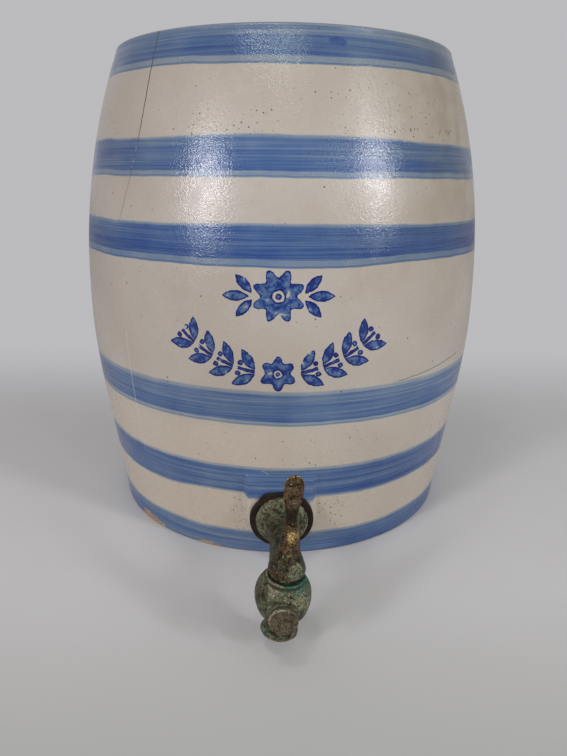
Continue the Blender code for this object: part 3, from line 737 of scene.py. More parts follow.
# %% [markdown]
# ## The jar's glaze
# The six bands are a table: the heights of their lower and upper edges, how many coats of cobalt they hold,
# how wide the thin wash runs below and above where the brush was lifted, and how strong that wash is. The
# two pairs say how far the lower and the upper edge drift towards the jar's left and right.

# %% Cobalt bands
STEADY = (0.0, 0.0)
PAINTED_BANDS = (
    (310.5, 333.0, 1.22, 3.8, 0.0, 0.52, (1.8, 0.5), STEADY),
    (250.5, 273.0, 1.24, 3.0, 0.8, 0.58, STEADY, (-0.7, -2.4)),
    (201.3, 225.5, 1.51, 4.0, 1.2, 0.70, (0.0, 1.4), (-1.9, -1.8)),
    (102.2, 125.6, 1.10, 2.4, 2.2, 0.42, (0.0, -0.8), STEADY),
    (45.9, 70.5, 1.26, 1.0, 1.8, 0.40, STEADY, STEADY),
    (-2.0, 17.8, 1.20, 0.0, 1.5, 0.40, STEADY, STEADY),
)
DAB_U, DAB_Z, DAB_WIDE, DAB_HIGH = 36.5, 322.6, 6.4, 3.2


def band_coats(x, z, brush):
    """The cobalt laid by all six bands at a place on the wall, in coats."""
    leftward, rightward = rise(x, -20, -80), rise(x, 30, 90)
    hairy = (0.52 + 0.62 * brush["Hairs"] + 0.34 * brush["Broad"]) * (0.72 + 0.56 * brush["Cloud"])
    total = 0
    for low, high, coats, wash_below, wash_above, wash_coats, low_drift, high_drift in PAINTED_BANDS:
        low = leftward * low_drift[0] + rightward * low_drift[1] + low
        high = leftward * high_drift[0] + rightward * high_drift[1] + high
        body = rise(z, low + wash_below - 0.6, low + wash_below + 0.6)
        body = body * rise(z, high - wash_above + 1.3, high - wash_above - 1.1)
        fuller = 1.16 - 0.34 * (z - low) / (high - low)
        wash = within(z, low, high, 1.5) * wash_coats * (0.5 + 1.0 * brush["Cloud"])
        pooled = within(z, low - 0.4, low + 0.8, 0.4) * (0.14 * wash_below)
        total = most(body * coats * fuller * hairy, wash + pooled) + total
    return total


def all_coats(x, z, u, place, brush, pad):
    """The bands, which lift a little near the tap and thin at the very rim, a dab and the stencil."""
    lifted = (0.5 + 2.7 * within(u, -75, 14, 36)) * rise(z, 62, 54) * rise(z, 30, 36)
    bands = band_coats(x, z + brush["Wander"] + 2.0 * pad - lifted, brush)
    thin_rim = within(z + brush["Wander"], 325.5, 340, 2.5)
    # Deeper blue towards both sides and low on the right.
    fuller_aside = 1 + 0.26 * rise(abs(u), 80, 170) + 0.2 * rise(x, 10, 60) * rise(z, 84, 76)
    patches = noise(place, 4.5, 3, 0.6)
    dab_u, dab_z = (u - DAB_U) / DAB_WIDE, (z - DAB_Z) / DAB_HIGH
    dab = rise(dab_u * dab_u + dab_z * dab_z + (patches - 0.5) * 5, 1.1, 0.2) * 0.55
    return bands * (1 - 0.28 * thin_rim) * fuller_aside + dab + stencil_coats(u, z, place, patches)


# %% [markdown]
# Iron pits crowd in patches: a table says where along the wall they run from and to, the heights from and
# to, and how many more there are. One long row of pits runs just above the second band. The jar also has
# two hairline cracks and a scratch. Beside the lever a small nick is painted pale as a highlight, and both
# sides are painted darker as shade, with a smoky stain on the right.

# %% Pits, cracks and stains
PITTED_PATCHES = (
    (30, 170, 272, 312, 0.22),
    (-62, -5, 273, 289, 1.0),
    (18, 34, 291, 299, 1.2),
    (-37, -25, 16, 46, 3.2),
    (24, 50, 18, 46, 1.4),
    (-60, 70, 72, 100, 0.22),
)
PIT_ROW_Z, PIT_ROW_SLOPE, PIT_ROW_FROM, PIT_ROW_TO = 276.2, 0.012, 66, 143
SCRATCH_U = -114
# A small curved nick at the pad's top edge, painted pale as a highlight: where along the wall, height,
# radius.
NICK_U, NICK_Z, NICK_R = -16.5, 58.7, 9.3


def pit_row(u, z):
    """Dots strung along one line of the wall."""
    off_row = z - PIT_ROW_Z - PIT_ROW_SLOPE * u
    row = spots(point(u, off_row * 0.42), 3.0, 1.4, 0.68) * within(off_row, -1.5, 1.5, 0.4)
    return row * within(u, PIT_ROW_FROM, PIT_ROW_TO, 2)


def crack_lines(degrees, z, place):
    """Two hairline cracks: a long one from the rim on the left and a short slanting one low on the right."""
    jitter = (noise(place, 5, 3) - 0.5) * 0.35
    drop = most(300 - z, 0.0) / 72
    long_one = abs(degrees + 38.9 + 5.6 * drop * drop + jitter) * 2.4
    fading = rise(z, 212, 230) * (0.40 + 0.25 * rise(z, 246, 250) + 0.35 * rise(z, 270, 275))
    short_one = abs(z - 126 - 0.243 * (degrees - 29.3) + jitter * 3)
    short_line = rise(short_one, 0.45, 0.1) * within(degrees, 29, 57, 2) * 0.7
    return most(rise(long_one, 0.55, 0.18) * fading, short_line)


def clay_stains(x, z, place):
    """What colours the clay below the cobalt, with painted light low on the left and painted shade on both
    sides.
    """
    cloudy = 0.82 + 0.5 * rise(noise(place, 14, 4), 0.35, 0.7)
    return {
        "warm towards the foot": (rise(z, 110, 10) * 0.35, (0.412, 0.345, 0.268)),
        # Lighter low down, most on the left: painted light.
        "pale below": (rise(z, 112, 92) * (0.35 + 0.65 * rise(x, 70, -20)) * 0.65, (0.56, 0.475, 0.378)),
        "freckles": (rise(noise(place, 1.7, 2), 0.60, 0.72) * rise(z, 130, 70) * 0.3, (0.30, 0.215, 0.14)),
        # Darker and greyer towards the shoulder.
        "dusty shoulder": (rise(z, 276, 324) * 0.5, (0.35, 0.30, 0.245)),
        # Browner and darker towards the right: a smoky stain, and painted shade.
        "smoky right": (rise(x, 30, 146) * rise(z, 150, 300) * cloudy, (0.268, 0.216, 0.142)),
        # Darker towards the left: painted shade.
        "smoky left": (rise(x, -50, -150) * rise(z, 120, 300) * 0.62, (0.30, 0.25, 0.20)),
    }


def glaze_marks(u, z, place, pits, crack):
    """What lies over clay and cobalt alike."""
    scratch = within(abs(u - SCRATCH_U + (noise(place, 9, 2) - 0.5) * 1.2), -1, 0.45, 0.35)
    nick = within(distance(u - NICK_U, z - NICK_Z) - NICK_R, -0.2, 0.2, 0.3)
    return {
        "rust round pits": (rise(pits, 0.0, 0.4) * 0.4, (0.20, 0.135, 0.08)),
        "pits": (rise(pits, 0.15, 0.55) * (0.94 - 0.42 * rise(z, 140, 110)), (0.055, 0.037, 0.026)),
        "scratch": (scratch * within(z, 69, 156, 14) * 0.4, (0.62, 0.60, 0.58)),
        # A small nick along the pad's top edge, painted pale as a highlight.
        "nick": (nick * within(u, -14.6, -9.6, 1) * rise(z, 62, 63) * 0.55, (0.55, 0.52, 0.46)),
        "cracks": (crack, (0.05, 0.035, 0.025)),
        "dirty rim": (rise(z, 331.2, 332.2) * 0.6, (0.17, 0.145, 0.125)),
    }


def bare_clay(place):
    """The colour of clay without glaze, and the grain that it follows."""
    grain = noise(place, 1.6, 4, 0.7)
    return mixed(rise(grain, 0.35, 0.65), (0.30, 0.18, 0.09), (0.47, 0.36, 0.24)), grain


# %% Jar glaze
GLAZE_ROUGHNESS = 0.2
GLAZE_IOR = 1.5
JAR_DIMPLES = 0.155 * MM
LID_DIMPLES = 0.16 * MM


def make_jar_glaze():
    """Clay, stains, cobalt and marks over one another, and bare clay at the foot and in chips."""
    material, tree, place = new_material("jar_glaze")
    x, y, z = parts(place)
    u = maths("ARCTAN2", x, 0 - y) * BELLY_MM
    outside, bare, pad = (attribute(tree, name) for name in ("outside", "bare", "pad"))
    brush = use_group(brush_marks, tree, Place=place)
    crowd = sum(within(u, left, right, 8) * within(z, low, high, 4) * more
                for left, right, low, high, more in PITTED_PATCHES)
    glaze = use_group(salt_glaze, tree, Place=place, Sheet=point(u, z - distance(x, y)), Crowd=crowd)
    pits = most(glaze["Specks"], pit_row(u, z)) * outside
    crack = crack_lines(u / BELLY_MM * 180 / math.pi, z, place) * outside
    coats = all_coats(x, z, u, place, brush, pad) * outside
    ground = layered(glaze["Ground"], clay_stains(x, z, place))
    stained = use_group(cobalt_stain, tree, Ground=ground, Paint=coats)["Color"]
    stained = layered(stained, glaze_marks(u, z, place, pits, crack))
    clay, grain = bare_clay(place)
    rough = GLAZE_ROUGHNESS + 0.12 * rise(noise(place, 9, 3), 0.4, 0.7) - rise(coats, 0.3, 1.0) * 0.07
    height = glaze["Height"] - crack * 1.2 + bare * grain * 2
    return finish_material(material, Base_Color=mixed(bare, stained, clay), Roughness=rough + bare * 0.6,
                           Normal=bump(height, JAR_DIMPLES), IOR=GLAZE_IOR)


jar_glaze = make_jar_glaze()

# %% [markdown]
# ## The jar
# The wall is one closed outline turned about Z, as a thrower would leave it: foot, wall, rim, the ledge for
# the lid, and the inside down to the floor. The flat pad round the tap was cut and smeared on by hand, so
# it is a height field: where its outline is, the wall comes forward to one flat plane and its sides are
# soft.

# %% Jar outline
WALL = 13 * MM
FOOT_ROUND = 2.5 * MM
FLOOR_T = 12 * MM
FLOOR_CORNER_R = 10 * MM
RIM_ROUND = 2.2 * MM
LEDGE_OUTER_R = 110.6 * MM
LEDGE_INNER_R = 103.6 * MM
LEDGE_Z = 323.3 * MM
LEDGE_BOTTOM_Z = 317.3 * MM
WALL_TOP_Z = 308.3 * MM
ROW_GAPS_MM = ((0, 0.8), (36, 0.8), (40, 1.2), (68, 1.2), (80, 2.7), (400, 2.7))


def spaced(low, high, gap_at):
    """Values from low to high whose distances follow gap_at."""
    fine = np.linspace(low, high, 6001)
    middle = (fine[1:] + fine[:-1]) / 2
    amount = np.concatenate([[0], np.cumsum(np.diff(fine) / gap_at(middle))])
    return np.interp(np.linspace(0, amount[-1], int(amount[-1]) + 2), amount, fine)


def row_gap(z):
    """How far apart rows stand: finest at the foot and the pad."""
    at, gap = np.array(ROW_GAPS_MM).T * MM
    return np.interp(z, at, gap)


def jar_profile():
    """Rows of (radius, height) from the middle of the base, up the outside and down the inside."""
    base = np.linspace((0, 0), (FOOT_R - FOOT_ROUND, 0), 9)
    foot = arc_rows((float(barrel_radius(FOOT_ROUND)) - FOOT_ROUND, FOOT_ROUND), FOOT_ROUND, -80, -10, 5)
    rim_z = JAR_H - RIM_ROUND
    z = spaced(FOOT_ROUND, rim_z, row_gap)
    outside = np.column_stack([barrel_radius(z), z])
    rim = arc_rows((float(barrel_radius(rim_z)) - RIM_ROUND, rim_z), RIM_ROUND, 12, 90, 7)
    lip = arc_rows((LEDGE_OUTER_R + RIM_ROUND, rim_z), RIM_ROUND, 90, 180, 7)
    ledge = [(LEDGE_OUTER_R, LEDGE_Z + MM), (LEDGE_OUTER_R - MM / 3, LEDGE_Z), (LEDGE_INNER_R + MM, LEDGE_Z),
             (LEDGE_INNER_R, LEDGE_Z - MM), (LEDGE_INNER_R, LEDGE_BOTTOM_Z)]
    down = np.linspace(WALL_TOP_Z, FLOOR_T + FLOOR_CORNER_R, 46)
    inside = np.column_stack([barrel_radius(down) - WALL, down])
    corner_r = inside[-1][0] - FLOOR_CORNER_R
    corner = arc_rows((corner_r, FLOOR_T + FLOOR_CORNER_R), FLOOR_CORNER_R, -12, -90, 7)
    floor = np.linspace((corner_r, FLOOR_T), (0, FLOOR_T), 9)[1:]
    rows = np.vstack([base, foot, outside, rim, lip, ledge, inside, corner, floor])
    return rows, len(base) + len(foot), len(z)


# %% [markdown]
# The foot is chipped. Each row of the table is one chip: its angle in degrees and its height, its half
# width and half height, and its depth, all in millimetres.

# %% Pad and chips
TAP_Z = 33.4 * MM
PAD_Y = 140.75 * MM
PAD_LEFT = 25.0 * MM
PAD_RIGHT = 22.5 * MM
PAD_TOP_Z = 64.5 * MM
PAD_SOFTNESS = 0.6 * MM
FOOT_CHIPS = (
    (-50.5, 3.6, 6.5, 2.6, 1.5),
    (-46.0, 3.0, 6.5, 2.2, 1.4),
    (-42.4, 2.0, 4.0, 1.7, 1.0),
    (-23.5, 1.4, 6.0, 1.6, 1.1),
    (-20.5, 0.6, 4.0, 1.2, 0.9),
    (31.0, 0.4, 2.6, 1.2, 0.7),
)


def column_gap(angle):
    """How far apart columns stand, in radians: fine at the pad, finest at its sides, and fine at chips."""
    x = angle * BELLY_R / MM
    gap = np.full_like(x, 4.6)
    gap[np.abs(x) < 32] = 1.1
    gap[(np.abs(x) > 18) & (np.abs(x) < 27.5)] = 0.6
    for degrees, _, width, _, _ in FOOT_CHIPS:
        gap[np.abs(x - math.radians(degrees) * BELLY_R / MM) < width + 3] = 1.3
    return gap * MM / BELLY_R


def pad_mask(points):
    """0 off the pad and 1 on it: round below the tap's axis, straight-sided above, with soft sides."""
    x, y, z = points.T
    middle, half = (PAD_RIGHT - PAD_LEFT) / 2, (PAD_RIGHT + PAD_LEFT) / 2
    below = half - np.hypot(x - middle, z - TAP_Z)
    above = np.minimum(half - np.abs(x - middle), PAD_TOP_Z - z)
    return step(np.where(z < TAP_Z, below, above), -1.2 * MM, 3.2 * MM) * (y < 0)


def chip_depth(points):
    """How deep the foot is chipped: each chip is a shallow bowl with a ragged edge."""
    degrees = np.degrees(np.arctan2(points[:, 0], -points[:, 1]))
    ragged = 1 + 0.45 * ripples(points, 4 * MM, 11)
    deepest = np.zeros(len(points))
    for centre, height, width, tall, depth in FOOT_CHIPS:
        across = (degrees - centre) * math.radians(1) * FOOT_R / MM / width
        up = (points[:, 2] / MM - height) / tall
        bowl = 1 - (across ** 2 + up ** 2) * ragged
        deepest = np.maximum(deepest, depth * MM * np.sqrt(np.clip(bowl, 0, 1)))
    return deepest


# %% Jar
HOLE_R = 9.5 * MM
SPOT_R = 17 * MM
SPOT_Y = 126.12 * MM
WALL_WOBBLE = 0.35 * MM


def jar_grid():
    """The turned wall, dented by a fraction of a millimetre, chipped, and drawn forward at the pad."""
    profile, first, count = jar_profile()
    angles = spaced(-math.pi, math.pi, column_gap)[:-1]
    grid = turned_grid(profile, angles)
    wall = grid[:, first:first + count].reshape(-1, 3)
    reach = np.hypot(wall[:, 0], wall[:, 1])
    fade = step(wall[:, 2], 0, 12 * MM) * step(wall[:, 2], JAR_H, JAR_H - 10 * MM)
    inward = WALL_WOBBLE * (0.5 + 0.5 * ripples(wall, 48 * MM, 3)) * fade + chip_depth(wall)
    wall[:, :2] *= ((reach - inward) / reach)[:, None]
    proud = PAD_Y + wall[:, 1]
    proud = 0.5 * (proud + np.sqrt(proud ** 2 + PAD_SOFTNESS ** 2))
    wall[:, 1] -= proud * pad_mask(wall)
    grid[:, first:first + count] = wall.reshape(len(angles), count, 3)
    return grid


def front_plug(name, radius, back_y, front_y):
    """A plain cylinder along Y at the tap's height, for cutting."""
    rows = [(0, back_y), (radius, back_y), (radius, front_y), (0, front_y)]
    grid = turned_grid(rows, all_round(64))
    return grid_mesh(name, np.stack([grid[..., 0], -grid[..., 2], TAP_Z - grid[..., 1]], -1))


def make_jar():
    """The wall with the tap's hole, a flat seat inside it, and masks for glaze, pad and bare clay."""
    mesh = grid_mesh("jar", jar_grid())
    for name, *size in (("hole", HOLE_R, 100 * MM, 150 * MM), ("spot_face", SPOT_R, 90 * MM, SPOT_Y)):
        mesh = cut_or_join(mesh, front_plug(name, *size), "DIFFERENCE")
    points = read_points(mesh)
    reach = np.hypot(points[:, 0], points[:, 1])
    z = points[:, 2]
    base = step(z, 0.9 * MM, 0.3 * MM) * (reach < FOOT_R + MM)
    chips = step(chip_depth(points), 0, 0.3 * MM) * (reach > FOOT_R - 9 * MM)
    write_mask(mesh, "outside", (reach > barrel_radius(z) - WALL * 0.55) & (z > 0.1 * MM))
    write_mask(mesh, "pad", pad_mask(points))
    write_mask(mesh, "bare", np.maximum(chips, base))
    return new_piece("stoneware_jar", mesh, jar_glaze, "jar", "jar_body")


make_jar()

# %% [markdown]
# ## The lid
# The photograph looks up at the rim, so it can't show the lid. The jar's inner ledge says that it had one:
# a flat stoneware plate that drops in flush, with a low knob, in the same glaze, and one cobalt ring round
# it.

# %% Lid glaze
LID_BAND = (78.0, 92.0)
KNOB_BAND = (12.2, 15.4)
LID_PITS = (0.045, 0.03, 0.022)


def make_lid_glaze():
    """The jar's finish with rings in place of bands: a brush held still over a turning lid."""
    material, tree, place = new_material("lid_glaze")
    x, y, z = parts(place)
    reach = distance(x, y)
    brush = use_group(brush_marks, tree, Place=point(reach, z, maths("ARCTAN2", x, y) * 40))
    glaze = use_group(salt_glaze, tree, Place=place, Sheet=place)
    rings = noise(point(reach, 0.0), 1.1, 4, 0.6)
    wander = (noise(stretched(place, 1, 1, 0.2), 40, 3) - 0.5) * 3
    band = within(reach + wander, *LID_BAND, 0.9) * (0.7 + 0.8 * rise(rings, 0.3, 0.7))
    knob_ring = within(reach + wander * 0.4, *KNOB_BAND, 0.7) * rise(z, 343, 346)
    coats = (band + knob_ring * (0.6 + 0.5 * brush["Broad"])) * rise(z, 330, 332)
    stained = use_group(cobalt_stain, tree, Ground=glaze["Ground"], Paint=coats)["Color"]
    flat = rise(z, 331.5, 332.4) * rise(reach, 17, 20)
    stained = mixed(rise(glaze["Specks"], 0.5, 0.9) * 0.9 * flat, stained, LID_PITS)
    bare = rise(z, 325.0, 324.2)
    return finish_material(material, Base_Color=mixed(bare, stained, bare_clay(place)[0]),
                           Roughness=0.22 + bare * 0.6, Normal=bump(glaze["Height"], LID_DIMPLES))


lid_glaze = make_lid_glaze()

# %% Lid
LID_EDGE_R = 109.4 * MM
LID_LOW = 323.6 * MM
LID_HIGH = 332.6 * MM
LID_TOP = 335.1 * MM
LID_RING_R = 102.4 * MM
LID_RING_IN = 94.4 * MM
LID_RING_LOW = 318.6 * MM
RING_ROUND = 1.5 * MM
KNOB_R = 17 * MM
KNOB_NECK_R = 11 * MM
KNOB_H = 17 * MM
KNOB_SHAPE = ((0.93, 0.5), (1.0, 0.66), (0.92, 0.83), (0.66, 0.94), (0.3, 0.99), (0.0, 1.0))


def lid_profile():
    """Rows of (radius, height): under the plate, round the locating ring, over the edge, up the knob."""
    under = [(0, LID_LOW), (60 * MM, LID_LOW), (LID_RING_IN - MM, LID_LOW), (LID_RING_IN, LID_LOW - MM)]
    ring_z = LID_RING_LOW + RING_ROUND
    ring = np.vstack([[(LID_RING_IN, ring_z)],
                      arc_rows((LID_RING_IN + RING_ROUND, ring_z), RING_ROUND, 190, 265, 4),
                      arc_rows((LID_RING_R - RING_ROUND, ring_z), RING_ROUND, 275, 350, 4)])
    rest = [(LID_RING_R, LID_LOW - 0.5 * MM), (LID_RING_R + 0.5 * MM, LID_LOW)]
    edge = np.vstack([arc_rows((LID_EDGE_R - 1.2 * MM, LID_LOW + 1.2 * MM), 1.2 * MM, -80, 0, 4),
                      arc_rows((LID_EDGE_R - 2 * MM, LID_HIGH - 2 * MM), 2 * MM, 0, 85, 6)])
    share = np.linspace(0.03, 1, 34)
    crown = np.column_stack([LID_EDGE_R - 2 * MM + (KNOB_NECK_R + 3 * MM - LID_EDGE_R + 2 * MM) * share,
                             LID_HIGH + (LID_TOP - LID_HIGH) * (1 - (1 - share) ** 2)])
    neck = [(KNOB_NECK_R + 1.2 * MM, LID_TOP + 0.6 * MM), (KNOB_NECK_R, LID_TOP + 3 * MM),
            (KNOB_NECK_R * 1.08, LID_TOP + KNOB_H * 0.34)]
    knob = [(KNOB_R * out, LID_TOP + KNOB_H * up) for out, up in KNOB_SHAPE]
    return np.vstack([under, ring, rest, edge, crown, smooth_rows(neck + knob, 40)])


def make_lid():
    """The turned lid, with its top dented by a quarter of a millimetre at most."""
    grid = turned_grid(lid_profile(), all_round(160))
    dents = 0.25 * MM * (0.5 + 0.5 * ripples(grid.reshape(-1, 3), 40 * MM, 5)).reshape(grid.shape[:2])
    grid[..., 2] -= dents * step(grid[..., 2], LID_HIGH - MM, LID_HIGH)
    return new_piece("stoneware_lid", grid_mesh("lid", grid), lid_glaze, "lid", "lid")


make_lid()

# %% [markdown]
# ## Weathered bronze
# The tap is cast bronze that has been wet for a century. It is brown where hands and cloths keep it bare,
# green where water stands, and almost black in the corners, from dirt and from shade painted into the colour.
# Five masks painted on each piece say where: wear on ridges, dark in corners, verdigris and lime where water
# dries, and a greener or browner tone. The wear and lime masks also carry painted highlights, and the dark
# mask painted shade.

# %% Group: patina


def make_patina():
    """Noise of several sizes breaks up each mask, and what it leaves is laid over the brown metal."""
    group, given = new_group("patina", Place=(0, 0, 0), Brown=(0.1, 0.07, 0.035, 1),
                             Green=(0.13, 0.15, 0.09, 1), Wear=0.0, Dark=0.0, Verdigris=0.0, Lime=0.0,
                             Greenness=0.5, Pitting=1.0, Flecks=0.5)
    place, pitting = given["Place"], given["Pitting"]
    broad = noise(place, 7, 4, 0.6)
    fine = noise(place, 1.6, 4, 0.65)
    crust = noise(place, 1.1, 5, 0.8)
    greenish = rise(broad + given["Greenness"] - 0.5 + (fine - 0.5) * 0.4, 0.38, 0.62)
    # Pale crust where the lime mask says; on some pieces that mask also carries painted highlights.
    lime = rise(given["Lime"] * 0.24 + fine * 0.6 + crust * 0.9 + broad * 0.3, 0.98, 1.22)
    flecks = rise(noise(place, 1.5, 3, 0.6), 0.54, 0.64) * given["Flecks"]
    pale = mixed(rise(broad, 0.45, 0.6), (0.27, 0.33, 0.20), (0.44, 0.36, 0.24))
    stains = rise(noise(place, 3.0, 6, 0.85), 0.47, 0.58) * (0.95 - 0.35 * given["Lime"]) * pitting
    pits = rise(crust, 0.48, 0.40) * 0.9 * pitting
    dark = rise(given["Dark"] + (fine - 0.5) * 0.5, 0.25, 0.75)
    wet = rise(given["Verdigris"] + (fine - 0.5) * 1.1 + (broad - 0.5) * 0.6, 0.5, 0.8)
    teal = mixed(rise(crust, 0.45, 0.62), (0.004, 0.075, 0.050), (0.05, 0.24, 0.17))
    bare = rise(given["Wear"] + (crust - 0.5) * 1.2, 0.5, 0.9)
    # Small bright specks that stand for glints of light: painted highlights.
    glint = rise(noise(place, 0.9, 3, 0.6) + 0.14 * given["Wear"], 0.68, 0.76) * (1 - wet) * 0.8
    colour = layered(mixed(greenish, given["Brown"], given["Green"]), {
        "lime and flecks": (most(lime * 0.72, flecks), pale),
        "stains": (stains, (0.014, 0.011, 0.005)),
        "pits": (pits, (0.008, 0.006, 0.004)),
        # Near black where the dark mask says: dirt, and shade painted in corners and recesses.
        "dark corners": (dark * 0.85, (0.016, 0.014, 0.009)),
        "verdigris": (wet * 0.85, teal),
        # Bare bronze where the wear mask says; some pieces put painted highlights in that mask.
        "bare metal": (bare * 0.8, (0.50, 0.325, 0.115)),
        "glints": (glint, (0.80, 0.70, 0.46)),
    })
    rough = 0.30 + 0.28 * fine + 0.3 * wet + 0.2 * lime - 0.10 * bare - 0.08 * glint
    height = crust * 1.2 + broad * 0.5 + wet * 0.4 - pits * 0.3
    metallic = 0.55 + 0.4 * bare - 0.5 * wet - 0.35 * lime + 0.4 * most(stains, most(pits, dark))
    return close_group(group, Color=colour, Roughness=rough, Metallic=metallic, Height=height)


patina = make_patina()

# %% [markdown]
# The three bronzes differ in their brown, their green and how much of it shows, in how pitted and how
# flecked they are, and in the depth of their crust in metres.

# %% Bronzes
BRONZES = {
    "body_bronze": ((0.130, 0.102, 0.056), (0.140, 0.172, 0.094), 0.50, 1.0, 0.8, 0.55 * MM),
    "lever_bronze": ((0.092, 0.051, 0.021), (0.056, 0.046, 0.020), 0.30, 1.0, 0.3, 0.42 * MM),
    "cap_bronze": ((0.165, 0.125, 0.080), (0.130, 0.118, 0.078), 0.40, 0.75, 0.2, 0.2 * MM),
}


def make_bronze(name, brown, green, greenness, pitting, flecks, depth):
    """The patina, driven by the masks on the mesh."""
    material, tree, place = new_material(name)
    masks = {mask.capitalize(): attribute(tree, mask) for mask in ("wear", "dark", "verdigris", "lime")}
    greenness = greenness + attribute(tree, "olive")
    found = use_group(patina, tree, Place=place, Brown=brown, Green=green, Greenness=greenness,
                      Pitting=pitting, Flecks=flecks, **masks)
    return finish_material(material, Base_Color=found["Color"], Roughness=found["Roughness"],
                           Metallic=found["Metallic"], Normal=bump(found["Height"], depth))


body_bronze, lever_bronze, cap_bronze = (make_bronze(name, *values) for name, values in BRONZES.items())

# %% [markdown]
# ## The tap's own frame
# The tap screws through the pad, rolled 5.5 degrees on its shank. In its frame a station runs forward from
# the pad's face and a height runs up. Shapes are made there and then moved into the jar's frame.

# %% Tap frame
TAP_TURN = np.array(Matrix.Rotation(math.radians(5.5), 3, "Y"))
TAP_ORIGIN = np.array([0, -PAD_Y, TAP_Z])
STEM_S = 81.7 * MM
PIVOT_H = 16.4 * MM


def from_tap(points):
    """From the tap's frame to the jar's."""
    return points @ TAP_TURN.T + TAP_ORIGIN


def tap_millimetres(mesh):
    """Every vertex as millimetres aside, forward of the pad, and up from the shank's axis."""
    local = (read_points(mesh) - TAP_ORIGIN) @ TAP_TURN / MM
    return local[:, 0], -local[:, 1], local[:, 2]


def along_shank(profile, count=112):
    """Turns rows of (radius, station) about the shank's axis."""
    grid = turned_grid(profile, all_round(count))
    return from_tap(np.stack([grid[..., 0], -grid[..., 2], -grid[..., 1]], -1))


def upright(name, profile, count, height=0.0):
    """A mesh of rows of (radius, height) turned about the upright axis through lever, bonnet and spout."""
    grid = turned_grid(profile, all_round(count))
    return grid_mesh(name, from_tap(grid + np.array([0, -STEM_S, height])))


def pin_mesh(name, radius, reach, count):
    """A rod across the tap at the pivot."""
    grid = turned_grid([(0, -reach), (radius, -reach), (radius, reach), (0, reach)], all_round(count))
    local = np.stack([grid[..., 2], grid[..., 0] - STEM_S, grid[..., 1] + PIVOT_H], -1)
    return grid_mesh(name, from_tap(local))


def block_at(low, high, place):
    """A plain box between two corners, in the tap's frame."""
    corners = np.array([[(x, y, z) for z in (low[2], high[2])] for x, y in
                        ((low[0], low[1]), (high[0], low[1]), (high[0], high[1]), (low[0], high[1]))], float)
    faces = [(0, 2, 3, 1), (2, 4, 5, 3), (4, 6, 7, 5), (6, 0, 1, 7), (0, 6, 4, 2), (1, 3, 5, 7)]
    return sealed_mesh("block", from_tap(corners.reshape(-1, 3) + np.array(place)), faces)


# %% [markdown]
# Weather works on a casting by its shape. A vertex that stands out from the middle of its neighbours is on
# a ridge, where hands polish it, and one that lies behind them is in a corner, where dirt and water stay and
# where shade is painted in as a darker colour.

# %% Weather


def neighbour_mean(mesh, values):
    """Each vertex gets the mean of the values at the other ends of its edges."""
    ends = np.empty(len(mesh.edges) * 2, np.int32)
    mesh.edges.foreach_get("vertices", ends)
    a, b = ends.reshape(-1, 2).T
    size = len(values)
    count = np.bincount(a, minlength=size) + np.bincount(b, minlength=size)
    total = np.bincount(a, values[b], size) + np.bincount(b, values[a], size)
    return total / np.maximum(count, 1)


def smoothed(mesh, values):
    """Spreads values to their neighbours six times."""
    for _ in range(6):
        values = 0.5 * values + 0.5 * neighbour_mean(mesh, values)
    return values


def convexity(mesh):
    """How far each vertex stands out from the middle of its neighbours along its normal, in metres."""
    points = read_points(mesh)
    middle = np.stack([neighbour_mean(mesh, column) for column in points.T], -1)
    return ((points - middle) * read_points(mesh, "normal")).sum(1)


def weather(mesh, amount, seed, **more):
    """Roughens a casting inwards and paints its masks: what its ridges and corners give, and more of each."""
    points = read_points(mesh)
    dents = 0.5 + 0.3 * ripples(points, 5 * MM, seed) + 0.2 * ripples(points, 1.8 * MM, seed + 1, 40)
    write_points(mesh, points - read_points(mesh, "normal") * (amount * np.clip(dents, 0, 1))[:, None])
    bend = smoothed(mesh, convexity(mesh))
    size = np.percentile(np.abs(bend), 93) + 1e-9
    ridge = np.clip(bend / size, 0, 1)
    corner = smoothed(mesh, np.clip(-bend / size, 0, 1))
    # Corners get the dark mask, which is dirt and painted shade.
    found = {"wear": ridge * 0.6, "dark": corner * 0.9, "verdigris": corner * 0.25, "lime": 0.0, "olive": 0.0}
    for name, values in found.items():
        write_mask(mesh, name, values + more.get(name, 0.0))


# %% [markdown]
# ## The tap's casting
# One sand casting carries the threaded shank, the flange, the trumpet-shaped neck, the egg-shaped bulb with
# its front boss, and the spout. Sharp solids are joined and bored first. Then a fine even skin is drawn
# over them and relaxed, so that every corner gets the small fillet that molten metal leaves.

# %% Tap outline
SHANK_R = 8 * MM
THREAD_DEPTH = 0.7 * MM
THREAD_PITCH = 2 * MM
SHANK_END = -31.53 * MM
SHANK_THREADS = 7
FLANGE_BACK = 3.3 * MM
FLANGE_R = 17.45 * MM
FLANGE_T = 2.6 * MM
FLARE_L = 16 * MM
FLARE_SHAPE = ((0.93, 0.02), (0.80, 0.07), (0.46, 0.19), (0.20, 0.38), (0.06, 0.68), (0.0, 1.0))
NECK_R = 8.1 * MM
BULB_S = 77.9 * MM
BULB_R = 15.85 * MM
BULB_BACK = 14.5 * MM
BULB_FRONT = 21 * MM
BOSS_R = 7.75 * MM
BOSS_FACE = 98.7 * MM
FRONT_THREAD_R = 6.6 * MM
CHAMBER_R = 8.6 * MM
CHAMBER_BACK = 70.2 * MM
CHAMBER_FRONT = 92 * MM
SEAT_HOLE_R = 5.5 * MM
SEAT_BACK = 66.5 * MM
WATERWAY_R = 4 * MM


